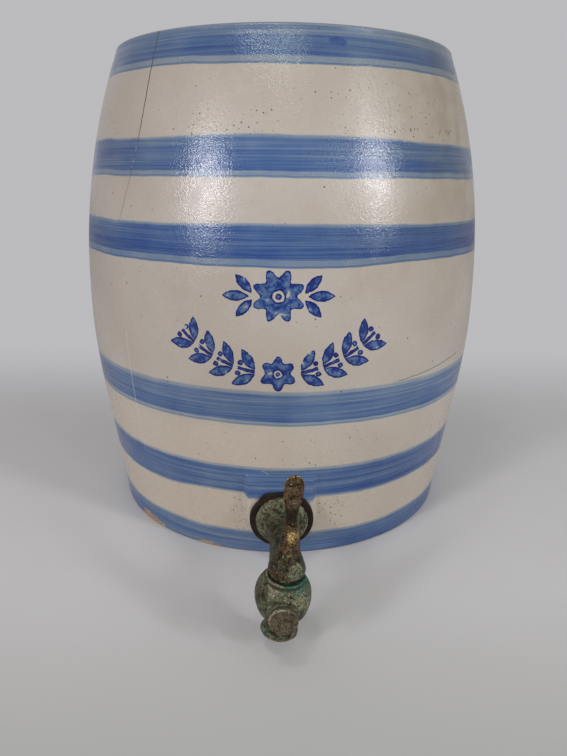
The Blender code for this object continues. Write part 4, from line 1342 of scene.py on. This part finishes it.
def casting_profile():
    """Rows of (radius, station): shank, flange, trumpet, neck, bulb and boss, then back down the bore."""
    shank_s = np.arange(SHANK_END, SHANK_END + THREAD_PITCH * SHANK_THREADS, THREAD_PITCH / 4)
    turn = (shank_s - SHANK_END) / THREAD_PITCH * 2 * math.pi
    shank = np.column_stack([SHANK_R - THREAD_DEPTH * (0.5 + 0.5 * np.cos(turn)), shank_s])
    rim = FLANGE_T / 4
    top = FLANGE_BACK + FLANGE_T
    flange = [(SHANK_R, shank_s[-1] + THREAD_PITCH), (SHANK_R, FLANGE_BACK), (FLANGE_R - rim, FLANGE_BACK),
              (FLANGE_R, FLANGE_BACK + rim), (FLANGE_R, top - rim), (FLANGE_R - rim, top)]
    wide = FLANGE_R - NECK_R
    flare = smooth_rows([(NECK_R + wide * out, top + FLARE_L * along) for out, along in FLARE_SHAPE], 30)
    neck = np.linspace((NECK_R, top + FLARE_L * 1.15), (NECK_R, BULB_S - BULB_BACK), 12)
    angle = np.linspace(math.pi - math.asin(NECK_R * 1.06 / BULB_R), math.asin(BOSS_R / BULB_R), 48)
    length = np.where(angle > math.pi / 2, BULB_BACK, BULB_FRONT)
    bulb = np.column_stack([BULB_R * np.sin(angle), BULB_S + length * np.cos(angle)])
    bore = [(BOSS_R, BOSS_FACE), (FRONT_THREAD_R, BOSS_FACE), (FRONT_THREAD_R, CHAMBER_FRONT),
            (CHAMBER_R, CHAMBER_FRONT), (CHAMBER_R, CHAMBER_BACK), (SEAT_HOLE_R, CHAMBER_BACK),
            (SEAT_HOLE_R, SEAT_BACK), (WATERWAY_R, SEAT_BACK), (WATERWAY_R, SHANK_END)]
    return np.vstack([shank, flange, flare, neck, bulb, bore])


# %% Tap casting
SPOUT_R = 8.8 * MM
SPOUT_LIP_R = 10.7 * MM
SPOUT_MOUTH = -22 * MM
SPOUT_ROOT = -12.2 * MM
SPOUT_LIP_T = 2 * MM
SPOUT_ROUND = 0.9 * MM
SPOUT_BORE_R = 6 * MM
TOP_FLAT = 11 * MM
TOP_THREAD_R = 7.2 * MM
BODY_SKIN = 0.46 * MM
FINE_SKIN = 0.3 * MM


def bare_casting():
    """The bulb with its spout joined on, bored from below and opened for the bonnet on top."""
    mesh = grid_mesh("casting", along_shank(closed_rows(casting_profile())))
    lip = SPOUT_MOUTH + SPOUT_LIP_T
    out = SPOUT_LIP_R - SPOUT_ROUND
    spout = np.vstack([[(0, SPOUT_ROOT), (SPOUT_R, SPOUT_ROOT), (SPOUT_R, lip + SPOUT_LIP_T)],
                       arc_rows((out, lip - SPOUT_ROUND), SPOUT_ROUND, 80, 0, 4),
                       arc_rows((out, SPOUT_MOUTH + SPOUT_ROUND), SPOUT_ROUND, 0, -80, 4),
                       [(SPOUT_LIP_R - 1.5 * MM, SPOUT_MOUTH), (0, SPOUT_MOUTH)]])
    low, high, above = SPOUT_MOUTH - 4 * MM, CHAMBER_R / 2, BULB_R + 4 * MM
    bore = [(0, low), (SPOUT_BORE_R, low), (SPOUT_BORE_R, -high), (0, -high)]
    top = [(0, high), (TOP_THREAD_R, high), (TOP_THREAD_R, TOP_FLAT), (BULB_R, TOP_FLAT), (BULB_R, above),
           (0, above)]
    mesh = cut_or_join(mesh, upright("spout", spout, 90), "UNION")
    mesh = cut_or_join(mesh, upright("bore", bore, 70), "DIFFERENCE")
    return cut_or_join(mesh, upright("top", top, 82), "DIFFERENCE")


def make_tap_body():
    """Each mask is a product of steps and humps, in millimetres, over the places seen in the photograph."""
    mesh = cast_skin(bare_casting(), BODY_SKIN, 4)
    aside, station, height = tap_millimetres(mesh)
    reach = np.hypot(aside, height)
    collar = hump(height, TOP_FLAT / MM - 1, 2.2) * (np.abs(station - STEM_S / MM) < 14)
    boss = hump(station, BOSS_FACE / MM - 1, 2.4) * (reach < 11)
    flange = step(reach, 12, 15) * (station < 9)
    # The bulb's front and top painted pale: a painted highlight.
    front_top = hump(station, 91, 6) * step(height, -3, 4) * (np.abs(aside - 3) < 12)
    # A pale line on the left of the spout's lip: a painted reflection.
    lip_left = hump(height, -19.6, 1) * step(aside, 0, -6)
    # Teal on the spout's left: a verdigris stain, and a painted bluish reflection.
    spout_left = step(height, -11, -15) * step(aside, -2, -7)
    neck = step(station, 8, 22) * step(station, 70, 60)
    verdigris = collar * step(aside, -8, 8) * 0.75 + boss * 0.32 + flange * 0.25
    verdigris = verdigris + step(height, -16, -20) * 0.4 + spout_left * 0.2
    lime = 0.75 * flange + front_top * 1.2 + collar * hump(aside, -8, 4) * 0.7 + lip_left
    weather(mesh, 0.3 * MM, 21, verdigris=verdigris, dark=neck * 0.42 + 0.2 * step(height, 0, -12), lime=lime)
    return new_piece("tap_casting", mesh, body_bronze, "jar", "tap_body")


make_tap_body()

# %% [markdown]
# ## The bonnet, the cap and the washers
# A flanged plug screws into the top of the bulb and carries the pin. A flat disc closes the front. Behind
# the flange sits a hand-cut rubber washer, which is anything but round.

# %% Bonnet
BONNET_FLANGE_R = 10.9 * MM
BONNET_FLANGE_H = 12.3 * MM
BONNET_FLANGE_T = 1.9 * MM
BONNET_ROUND = 0.5 * MM
BONNET_DOME_R = 9 * MM
BONNET_BORE_R = 5 * MM
BONNET_LOW = 6.5 * MM
BONNET_CEILING = 12.8 * MM
CHEEK_GAP = 5.2 * MM
CHEEK_SLOT_L = 11.4 * MM
CHEEK_SLOT_TOP = 34 * MM
PIN_HOLE_R = 1.5 * MM
CASTING_GAP = 0.3 * MM


def make_bonnet():
    """A turned plug with a dome, slotted for the lever and drilled for the pin."""
    thread_r = TOP_THREAD_R - CASTING_GAP
    top = BONNET_FLANGE_H + BONNET_FLANGE_T
    out = BONNET_FLANGE_R - BONNET_ROUND
    rows = np.vstack([[(BONNET_BORE_R, BONNET_LOW), (thread_r, BONNET_LOW), (thread_r, BONNET_FLANGE_H)],
                      arc_rows((out, BONNET_FLANGE_H + BONNET_ROUND), BONNET_ROUND, -80, 0, 4),
                      arc_rows((out, top - BONNET_ROUND), BONNET_ROUND, 0, 85, 4),
                      [(BONNET_DOME_R, top)], arc_rows((0, PIVOT_H), BONNET_DOME_R, 2, 90, 20),
                      [(0, BONNET_CEILING), (BONNET_BORE_R, BONNET_CEILING)]])
    slot = block_at((-CHEEK_GAP / 2, -CHEEK_SLOT_L / 2, BONNET_CEILING - CASTING_GAP),
                    (CHEEK_GAP / 2, CHEEK_SLOT_L / 2, CHEEK_SLOT_TOP), (0, -STEM_S, 0))
    mesh = upright("bonnet", closed_rows(rows), 96)
    for tool in (slot, pin_mesh("pin_hole", PIN_HOLE_R, 14 * MM, 40)):
        mesh = cut_or_join(mesh, tool, "DIFFERENCE")
    mesh = cast_skin(mesh, FINE_SKIN, 2)
    aside, station, height = tap_millimetres(mesh)
    edge = hump(np.hypot(aside, station - STEM_S / MM), BONNET_FLANGE_R / MM, 1.5)
    to_right = step(aside, -3.5, 2)
    weather(mesh, 0.28 * MM, 31, verdigris=edge * (0.1 + 0.85 * to_right), wear=-0.9 * edge, dark=0.2,
            lime=edge * (1 - to_right) * 1.3)
    return new_piece("tap_bonnet", mesh, body_bronze, "jar", "bonnet")


make_bonnet()

# %% Front cap
CAP_BORE_R = 4.4 * MM
CAP_HEAD_BACK = 100 * MM
CAP_FACE = 102.7 * MM
CAP_INSIDE = 100.5 * MM
CAP_DISH = 0.2 * MM
CAP_SCUFFS = 0.07 * MM


def make_front_cap():
    """A screwed disc with a slightly dished, scuffed face, and a rim painted paler on its upper left as a
    highlight.
    """
    skirt_r = FRONT_THREAD_R - CASTING_GAP
    back = CHAMBER_FRONT + CASTING_GAP
    rows = np.vstack([[(CAP_BORE_R, back), (skirt_r, back), (skirt_r, CAP_HEAD_BACK)],
                      arc_rows((BOSS_R - 0.4 * MM, CAP_HEAD_BACK + 0.4 * MM), 0.4 * MM, -85, 0, 4),
                      arc_rows((BOSS_R - 0.5 * MM, CAP_FACE - 0.5 * MM), 0.5 * MM, 0, 80, 5),
                      [(BOSS_R - 1.2 * MM, CAP_FACE - 0.12 * MM)],
                      np.linspace((BOSS_R - 1.8 * MM, CAP_FACE - CAP_DISH), (0, CAP_FACE - CAP_DISH), 14),
                      [(0, CAP_INSIDE), (CAP_BORE_R, CAP_INSIDE)]])
    mesh = grid_mesh("cap", along_shank(closed_rows(rows), 96))
    points = read_points(mesh)
    aside, station, height = tap_millimetres(mesh)
    reach = np.hypot(aside, height)
    edge, neck = BOSS_R / MM, CAP_HEAD_BACK / MM + 1
    face = (station > CAP_FACE / MM - 1) & (reach < edge - 1)
    scuffs = CAP_SCUFFS * ripples(points, 4 * MM, 41) - CAP_SCUFFS
    write_points(mesh, points + scuffs[:, None] * np.array([0, -1, 0]) * face[:, None])
    rim = hump(reach, edge - 0.3, 0.5) * (station > neck)
    # The rim worn and pale on its upper left: a painted highlight.
    upper_left = step(height - aside, 0, 9)
    write_mask(mesh, "wear", rim * 0.45 * upper_left)
    write_mask(mesh, "dark", (reach > edge - 0.6) * (station < neck) * 0.5)
    write_mask(mesh, "verdigris", (station < neck + 0.2) * 0.6 * step(reach, 7, 7.6))
    write_mask(mesh, "lime", rim * upper_left * 1.6)
    return new_piece("tap_front_cap", mesh, cap_bronze, "jar", "front_cap")


make_front_cap()

# %% [markdown]
# The washer was cut from a sheet with a knife. A table of angles and radii, joined by straight cuts, is its
# outline. Old rubber is nearly black, dull, and cracked like dry mud.

# %% Outer washer
WASHER_OUTLINE = ((0, 21.2), (25, 21.1), (50, 20.7), (72, 20.2), (95, 19.6), (110, 19.6), (125, 21.3),
                  (146, 20.5), (165, 21.3), (195, 21.6), (225, 21.6), (250, 21.0), (275, 20.6), (300, 20.6),
                  (330, 21.0))
WASHER_BACK = 0.3 * MM
WASHER_FRONT = 3.0 * MM
WASHER_COLUMNS = 180


def make_rubber():
    """Brown bloom in clouds over black, pale dust in the grain, and cracks between cells."""
    material, tree, place = new_material("old_black_rubber")
    fine = noise(place, 0.8, 4, 0.7)
    colour = mixed(rise(noise(place, 6, 3), 0.4, 0.7), (0.013, 0.010, 0.008), (0.040, 0.021, 0.013))
    colour = mixed(rise(fine, 0.62, 0.8) * 0.6, colour, (0.12, 0.085, 0.06))
    cell = add_node(tree, "ShaderNodeTexVoronoi", {"Vector": place, "Scale": 1 / 1.6})
    return finish_material(material, Base_Color=colour, Roughness=0.62 + 0.2 * fine, Specular_IOR_Level=0.18,
                           Normal=bump(fine - rise(cell, 0.62, 0.85), 0.15 * MM))


def make_outer_washer():
    """Rings from the hole to the outline: each row is a share of that way and a station."""
    angles = all_round(WASHER_COLUMNS)
    at, radii = np.array(WASHER_OUTLINE, float).T
    outer = np.interp(np.degrees(angles), at, radii, period=360) * MM
    hole = np.full(WASHER_COLUMNS, SHANK_R + CASTING_GAP)
    mid = (WASHER_BACK + WASHER_FRONT) / 2
    rows = ((0, WASHER_BACK), (0.6, WASHER_BACK), (0.97, WASHER_BACK), (1.0, WASHER_BACK + 0.4 * MM),
            (1.0, mid), (0.995, WASHER_FRONT - 0.5 * MM), (0.965, WASHER_FRONT), (0.6, WASHER_FRONT),
            (0, WASHER_FRONT))
    rows = closed_rows(np.array(rows, float))
    radius = hole[:, None] + (outer - hole)[:, None] * rows[:, 0]
    a = angles[:, None]
    local = np.stack([radius * np.cos(a), np.broadcast_to(-rows[:, 1], radius.shape), radius * np.sin(a)], -1)
    mesh = grid_mesh("washer", from_tap(local))
    return new_piece("rubber_washer", mesh, old_rubber, "jar", "outer_washer")


old_rubber = make_rubber()
make_outer_washer()

# %% [markdown]
# ## The lever
# A bell sits over the bonnet's dome and hides the pin. A flat arm leans back from it over the neck and ends
# in a thumb paddle, worn bright along its ridge. Along the arm's ridge and below its bend, that bright wear
# is also a painted highlight. Below the pin a finger reaches down into the plunger's slot. Tables give the
# arm's spine, width and thickness as shares, and the bell's outline in millimetres.

# %% Lever arm
ARM_BACK = 28.7 * MM
ARM_RISE = 43.0 * MM
ARM_ASIDE = 1.3 * MM
PADDLE_HALF_W = 5.9 * MM
PADDLE_HALF_T = 1.6 * MM
PADDLE_ROUND = 5.4 * MM
PADDLE_EDGE = 1.5 * MM
SQUARENESS = 2.6
ARM_SPINE = ((0.0, 0.25), (0.05, 0.33), (0.17, 0.41), (0.35, 0.485), (0.54, 0.56), (0.70, 0.66), (0.83, 0.78),
             (0.92, 0.89), (0.97, 0.96), (1.0, 1.0))
ARM_WIDTH = (1.03, 0.98, 0.86, 0.71, 0.63, 0.76, 0.98, 0.97, 0.91, 0.86)
ARM_THICKNESS = (3.4, 3.2, 2.7, 2.2, 1.8, 1.25, 1.0, 0.95, 0.92, 0.9)


def arm_grid():
    """Rounded-box sections square to the arm's spine: a superellipse |x|^2.6 + |t|^2.6 = 1."""
    back, up = np.array(ARM_SPINE).T
    curve = smooth_rows(np.column_stack([back * ARM_BACK, up * ARM_RISE, np.array(ARM_WIDTH) * PADDLE_HALF_W,
                                         np.array(ARM_THICKNESS) * PADDLE_HALF_T]), 110)
    run = np.gradient(curve[:, :2], axis=0)
    run /= np.linalg.norm(run, axis=1)[:, None]
    pace = np.linalg.norm(np.diff(curve[:, :2], axis=0), axis=1)
    left = np.concatenate([np.cumsum(pace[::-1])[::-1], [0]])
    curve[:, 2] *= np.sqrt(1 - (1 - np.clip(left / PADDLE_ROUND, 0.03, 1)) ** 2)
    curve[:, 3] *= np.sqrt(1 - (1 - np.clip(left / PADDLE_EDGE, 0.1, 1)) ** 2)
    a = all_round(40)
    flat, thick = (np.sign(c) * np.abs(c) ** (2 / SQUARENESS) for c in (np.cos(a), np.sin(a)))
    deep = curve[:, 3] * thick[:, None]
    x = ARM_ASIDE * (curve[:, 1] / ARM_RISE) ** 2 + curve[:, 2] * flat[:, None]
    y = curve[:, 0] - run[:, 1] * deep
    z = curve[:, 1] + run[:, 0] * deep
    return capped(np.stack([x, y, z], -1))


# %% Lever
BELL_IN_R = 9.6 * MM
BELL_OUT_R = 10.3 * MM
BELL_TOP = 14.3 * MM
BELL_OUTLINE = ((10.3, 1.0), (10.3, 3.0), (9.75, 5.0), (8.9, 7.0), (7.85, 9.4), (6.85, 11.8), (6.0, 13.2),
                (4.6, 14.0))
HUB_R = 3.3 * MM
HUB_W = 4.6 * MM
STEM_W = 4.2 * MM
STEM_L = 4.8 * MM
FINGER_R = 1.8 * MM
FINGER_PAST_AXIS = 1.8 * MM


def bare_lever():
    """Bell, arm, stem, hub and finger, joined, with an eye for the pin."""
    pivot = np.array([0, -STEM_S, PIVOT_H])
    bell = np.vstack([arc_rows((0, 0), BELL_IN_R, 90, 6, 20), smooth_rows(np.array(BELL_OUTLINE) * MM, 34),
                      [(0, BELL_TOP)]])
    low = -PIVOT_H - FINGER_PAST_AXIS
    tip_r = FINGER_R * 0.7
    finger = [(0, low), (tip_r, low), (FINGER_R, low + FINGER_R - tip_r), (FINGER_R, -HUB_R / 2),
              (0, -HUB_R / 2)]
    mesh = upright("bell", bell, 90, PIVOT_H)
    for tool in (grid_mesh("arm", from_tap(arm_grid() + pivot)),
                 block_at((-STEM_W / 2, -STEM_L / 2, 0), (STEM_W / 2, STEM_L / 2, BELL_OUT_R), pivot),
                 pin_mesh("hub", HUB_R, HUB_W / 2, 48), upright("finger", finger, 36, PIVOT_H)):
        mesh = cut_or_join(mesh, tool, "UNION")
    return cut_or_join(mesh, pin_mesh("eye", PIN_HOLE_R, 9 * MM, 40), "DIFFERENCE")


def make_lever():
    """Gold below the bend, worn and painted bright as a highlight, and on the tip; a painted highlight down
    the arm's ridge; dark across the bend and low on the bell except at its front; green on the skirt's right.
    """
    mesh = cast_skin(bare_lever(), FINE_SKIN, 4)
    aside, station, height = tap_millimetres(mesh)
    above = height - PIVOT_H / MM
    back = STEM_S / MM - station
    # Worn brass below the bend, painted brighter as a highlight too.
    gold = hump(above, 20.4, 2.2) * (0.30 + 0.28 * step(aside, -3, 2))
    tip = step(above, 36, 43) * 0.16
    # A bright stripe down the arm's ridge: wear, and a painted highlight.
    ridge = hump(aside, 0, 1.6) * step(above, 8, 12) * step(above, 27, 20) * 0.4
    not_front = 1 - hump(above, 3, 3) * step(aside, 3, -2)
    pale = hump(aside, 5, 4) * step(above, 11, 7) * step(back, 4, -2)
    dark = hump(above, 26, 3.6) * 0.7 + 0.3 * step(above, 13, 4) * not_front
    weather(mesh, 0.2 * MM, 51, verdigris=hump(above, 2, 2.5) * step(aside, -2, 8) * 0.6,
            wear=gold + tip + ridge, dark=dark, lime=pale * 1.6, olive=0.6 * step(above, 15, 10) * not_front)
    return new_piece("tap_lever", mesh, lever_bronze, "lever", "lever")


make_lever()

# %% [markdown]
# ## What the eye rarely sees
# Inside the jar the tap is clamped by a rubber washer, a brass washer and a nut. Inside the bulb a spring
# holds a rubber disc against its seat. These keep their solids from the model, and get finishes from
# formulas too.

# %% Turned metal and sheet stuff
TARNISH = (0.05, 0.04, 0.025)


def turned_metal(name, colour, dark, rough):
    """Fine rings round the tap's axis, as a lathe leaves them, with brown tarnish in clouds."""
    material, tree, place = new_material(name)
    x, y, z = parts(place)
    rings = noise(point(distance(x, z - TAP_Z / MM), y * 0.6), 0.35, 2)
    clouds = noise(place, 4, 4, 0.6)
    base = mixed(rise(clouds, 0.35, 0.7) * 0.8, colour, dark)
    base = mixed(rise(noise(place, 1.1, 3), 0.6, 0.75) * 0.5, base, TARNISH)
    return finish_material(material, Base_Color=base, Roughness=rough + 0.25 * rise(clouds, 0.3, 0.7),
                           Normal=bump(rings + clouds, 0.05 * MM), Metallic=0.9)


def sheet_stuff(name, light, dark, grain_mm, rough):
    """Rubber or pressed fibre: a matt grain in two shades."""
    material, tree, place = new_material(name)
    grain = noise(place, grain_mm, 4, 0.7)
    base = mixed(rise(grain * 0.7 + noise(place, 5, 2) * 0.3, 0.35, 0.65), dark, light)
    return finish_material(material, Base_Color=base, Roughness=rough + 0.1 * grain,
                           Normal=bump(grain, 0.08 * MM))


# %% Solids carried over
tarnished_brass = turned_metal("tarnished_brass", (0.44, 0.30, 0.12), (0.20, 0.13, 0.06), 0.3)
plain_steel = turned_metal("plain_steel", (0.47, 0.46, 0.44), (0.26, 0.24, 0.21), 0.28)
red_rubber = sheet_stuff("red_rubber", (0.20, 0.06, 0.04), (0.10, 0.035, 0.025), 0.7, 0.7)
stained_fibre = sheet_stuff("stained_fibre", (0.060, 0.070, 0.040), (0.020, 0.020, 0.012), 0.6, 0.8)
CARRIED_OVER = (
    (old_rubber, ("inner_washer",)),
    (tarnished_brass, ("metal_washer", "lock_nut", "valve_seat", "plunger", "disc_cup")),
    (red_rubber, ("valve_disc",)),
    (plain_steel, ("disc_screw", "lever_pin")),
    (stained_fibre, ("front_cap_gasket", "bonnet_gasket")),
)
for finish, names in CARRIED_OVER:
    for name in names:
        nodes[name].data.materials.clear()
        nodes[name].data.materials.append(finish)
    print(finish.name, "covers", ", ".join(names))

# %% [markdown]
# ## The return spring
# A coil of round wire between the plunger and the cap. The wire is a circle carried along the coil: radial
# and axial steps of the wire's radius.

# %% Return spring
SPRING_R = 2.3 * MM
SPRING_WIRE_R = 0.4 * MM
SPRING_START = 86.9 * MM
SPRING_END = 99.8 * MM
SPRING_TURNS = 8


def make_spring():
    """Turns of even pitch from one fixed station to another along the tap's axis."""
    t = np.linspace(0, 1, SPRING_TURNS * 40 + 1)
    angle = t * SPRING_TURNS * 2 * math.pi
    station = SPRING_START + (SPRING_END - SPRING_START) * t
    wire = all_round(12)[:, None]
    radius = SPRING_R + SPRING_WIRE_R * np.cos(wire)
    along = station + SPRING_WIRE_R * np.sin(wire)
    local = np.stack([radius * np.cos(angle), -along, radius * np.sin(angle)], -1)
    mesh = grid_mesh("spring", from_tap(capped(local)))
    piece = new_piece("coil_spring", mesh, plain_steel, "jar", "return_spring")
    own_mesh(piece)


make_spring()

# %% [markdown]
# ## The floor
# A plain pale board, so that the jar's shadow has somewhere to fall. Away from the jar it fades into the
# backdrop's own colour, as a paper sweep does, and no horizon shows.

# %% Floor
FLOOR_REACH = 30
BOARD = ((0.60, 0.585, 0.575), (0.635, 0.62, 0.61))
BOARD_IN_FRONT = (0.43, 0.43, 0.405)


def floor_material():
    """The board's own colour near the jar, darker in front of it, and the backdrop's glow where the camera
    looks far past it.
    """
    material, tree, place = new_material("pale_floor")
    x, y, z = parts(place)
    grain = noise(place, 50, 4)
    colour = mixed(rise(y, -150, -340) * 0.9, mixed(grain, *BOARD), BOARD_IN_FRONT)
    finish_material(material, Base_Color=colour, Roughness=0.55 + 0.1 * grain)
    far = most(rise(y, 80, 420), rise(distance(x, y), 500, 1200))
    seen = add_node(tree, "ShaderNodeLightPath", output="Is Camera Ray")
    board = Wire(tree, tree.nodes["Principled BSDF"].outputs[0])
    glow = add_node(tree, "ShaderNodeEmission", {"Color": BACKDROP})
    mix = add_node(tree, "ShaderNodeMixShader", {0: far * seen, 1: board, 2: glow})
    plug(mix, tree.nodes["Material Output"].inputs["Surface"])
    return material


def make_floor():
    """One wide square."""
    mesh = bpy.data.meshes.new("floor")
    corners = [(x * FLOOR_REACH, y * FLOOR_REACH, 0) for x, y in ((-1, -1), (1, -1), (1, 1), (-1, 1))]
    mesh.from_pydata(corners, [], [(0, 1, 2, 3)])
    mesh.materials.append(floor_material())
    place_object("floor", mesh)


make_floor()
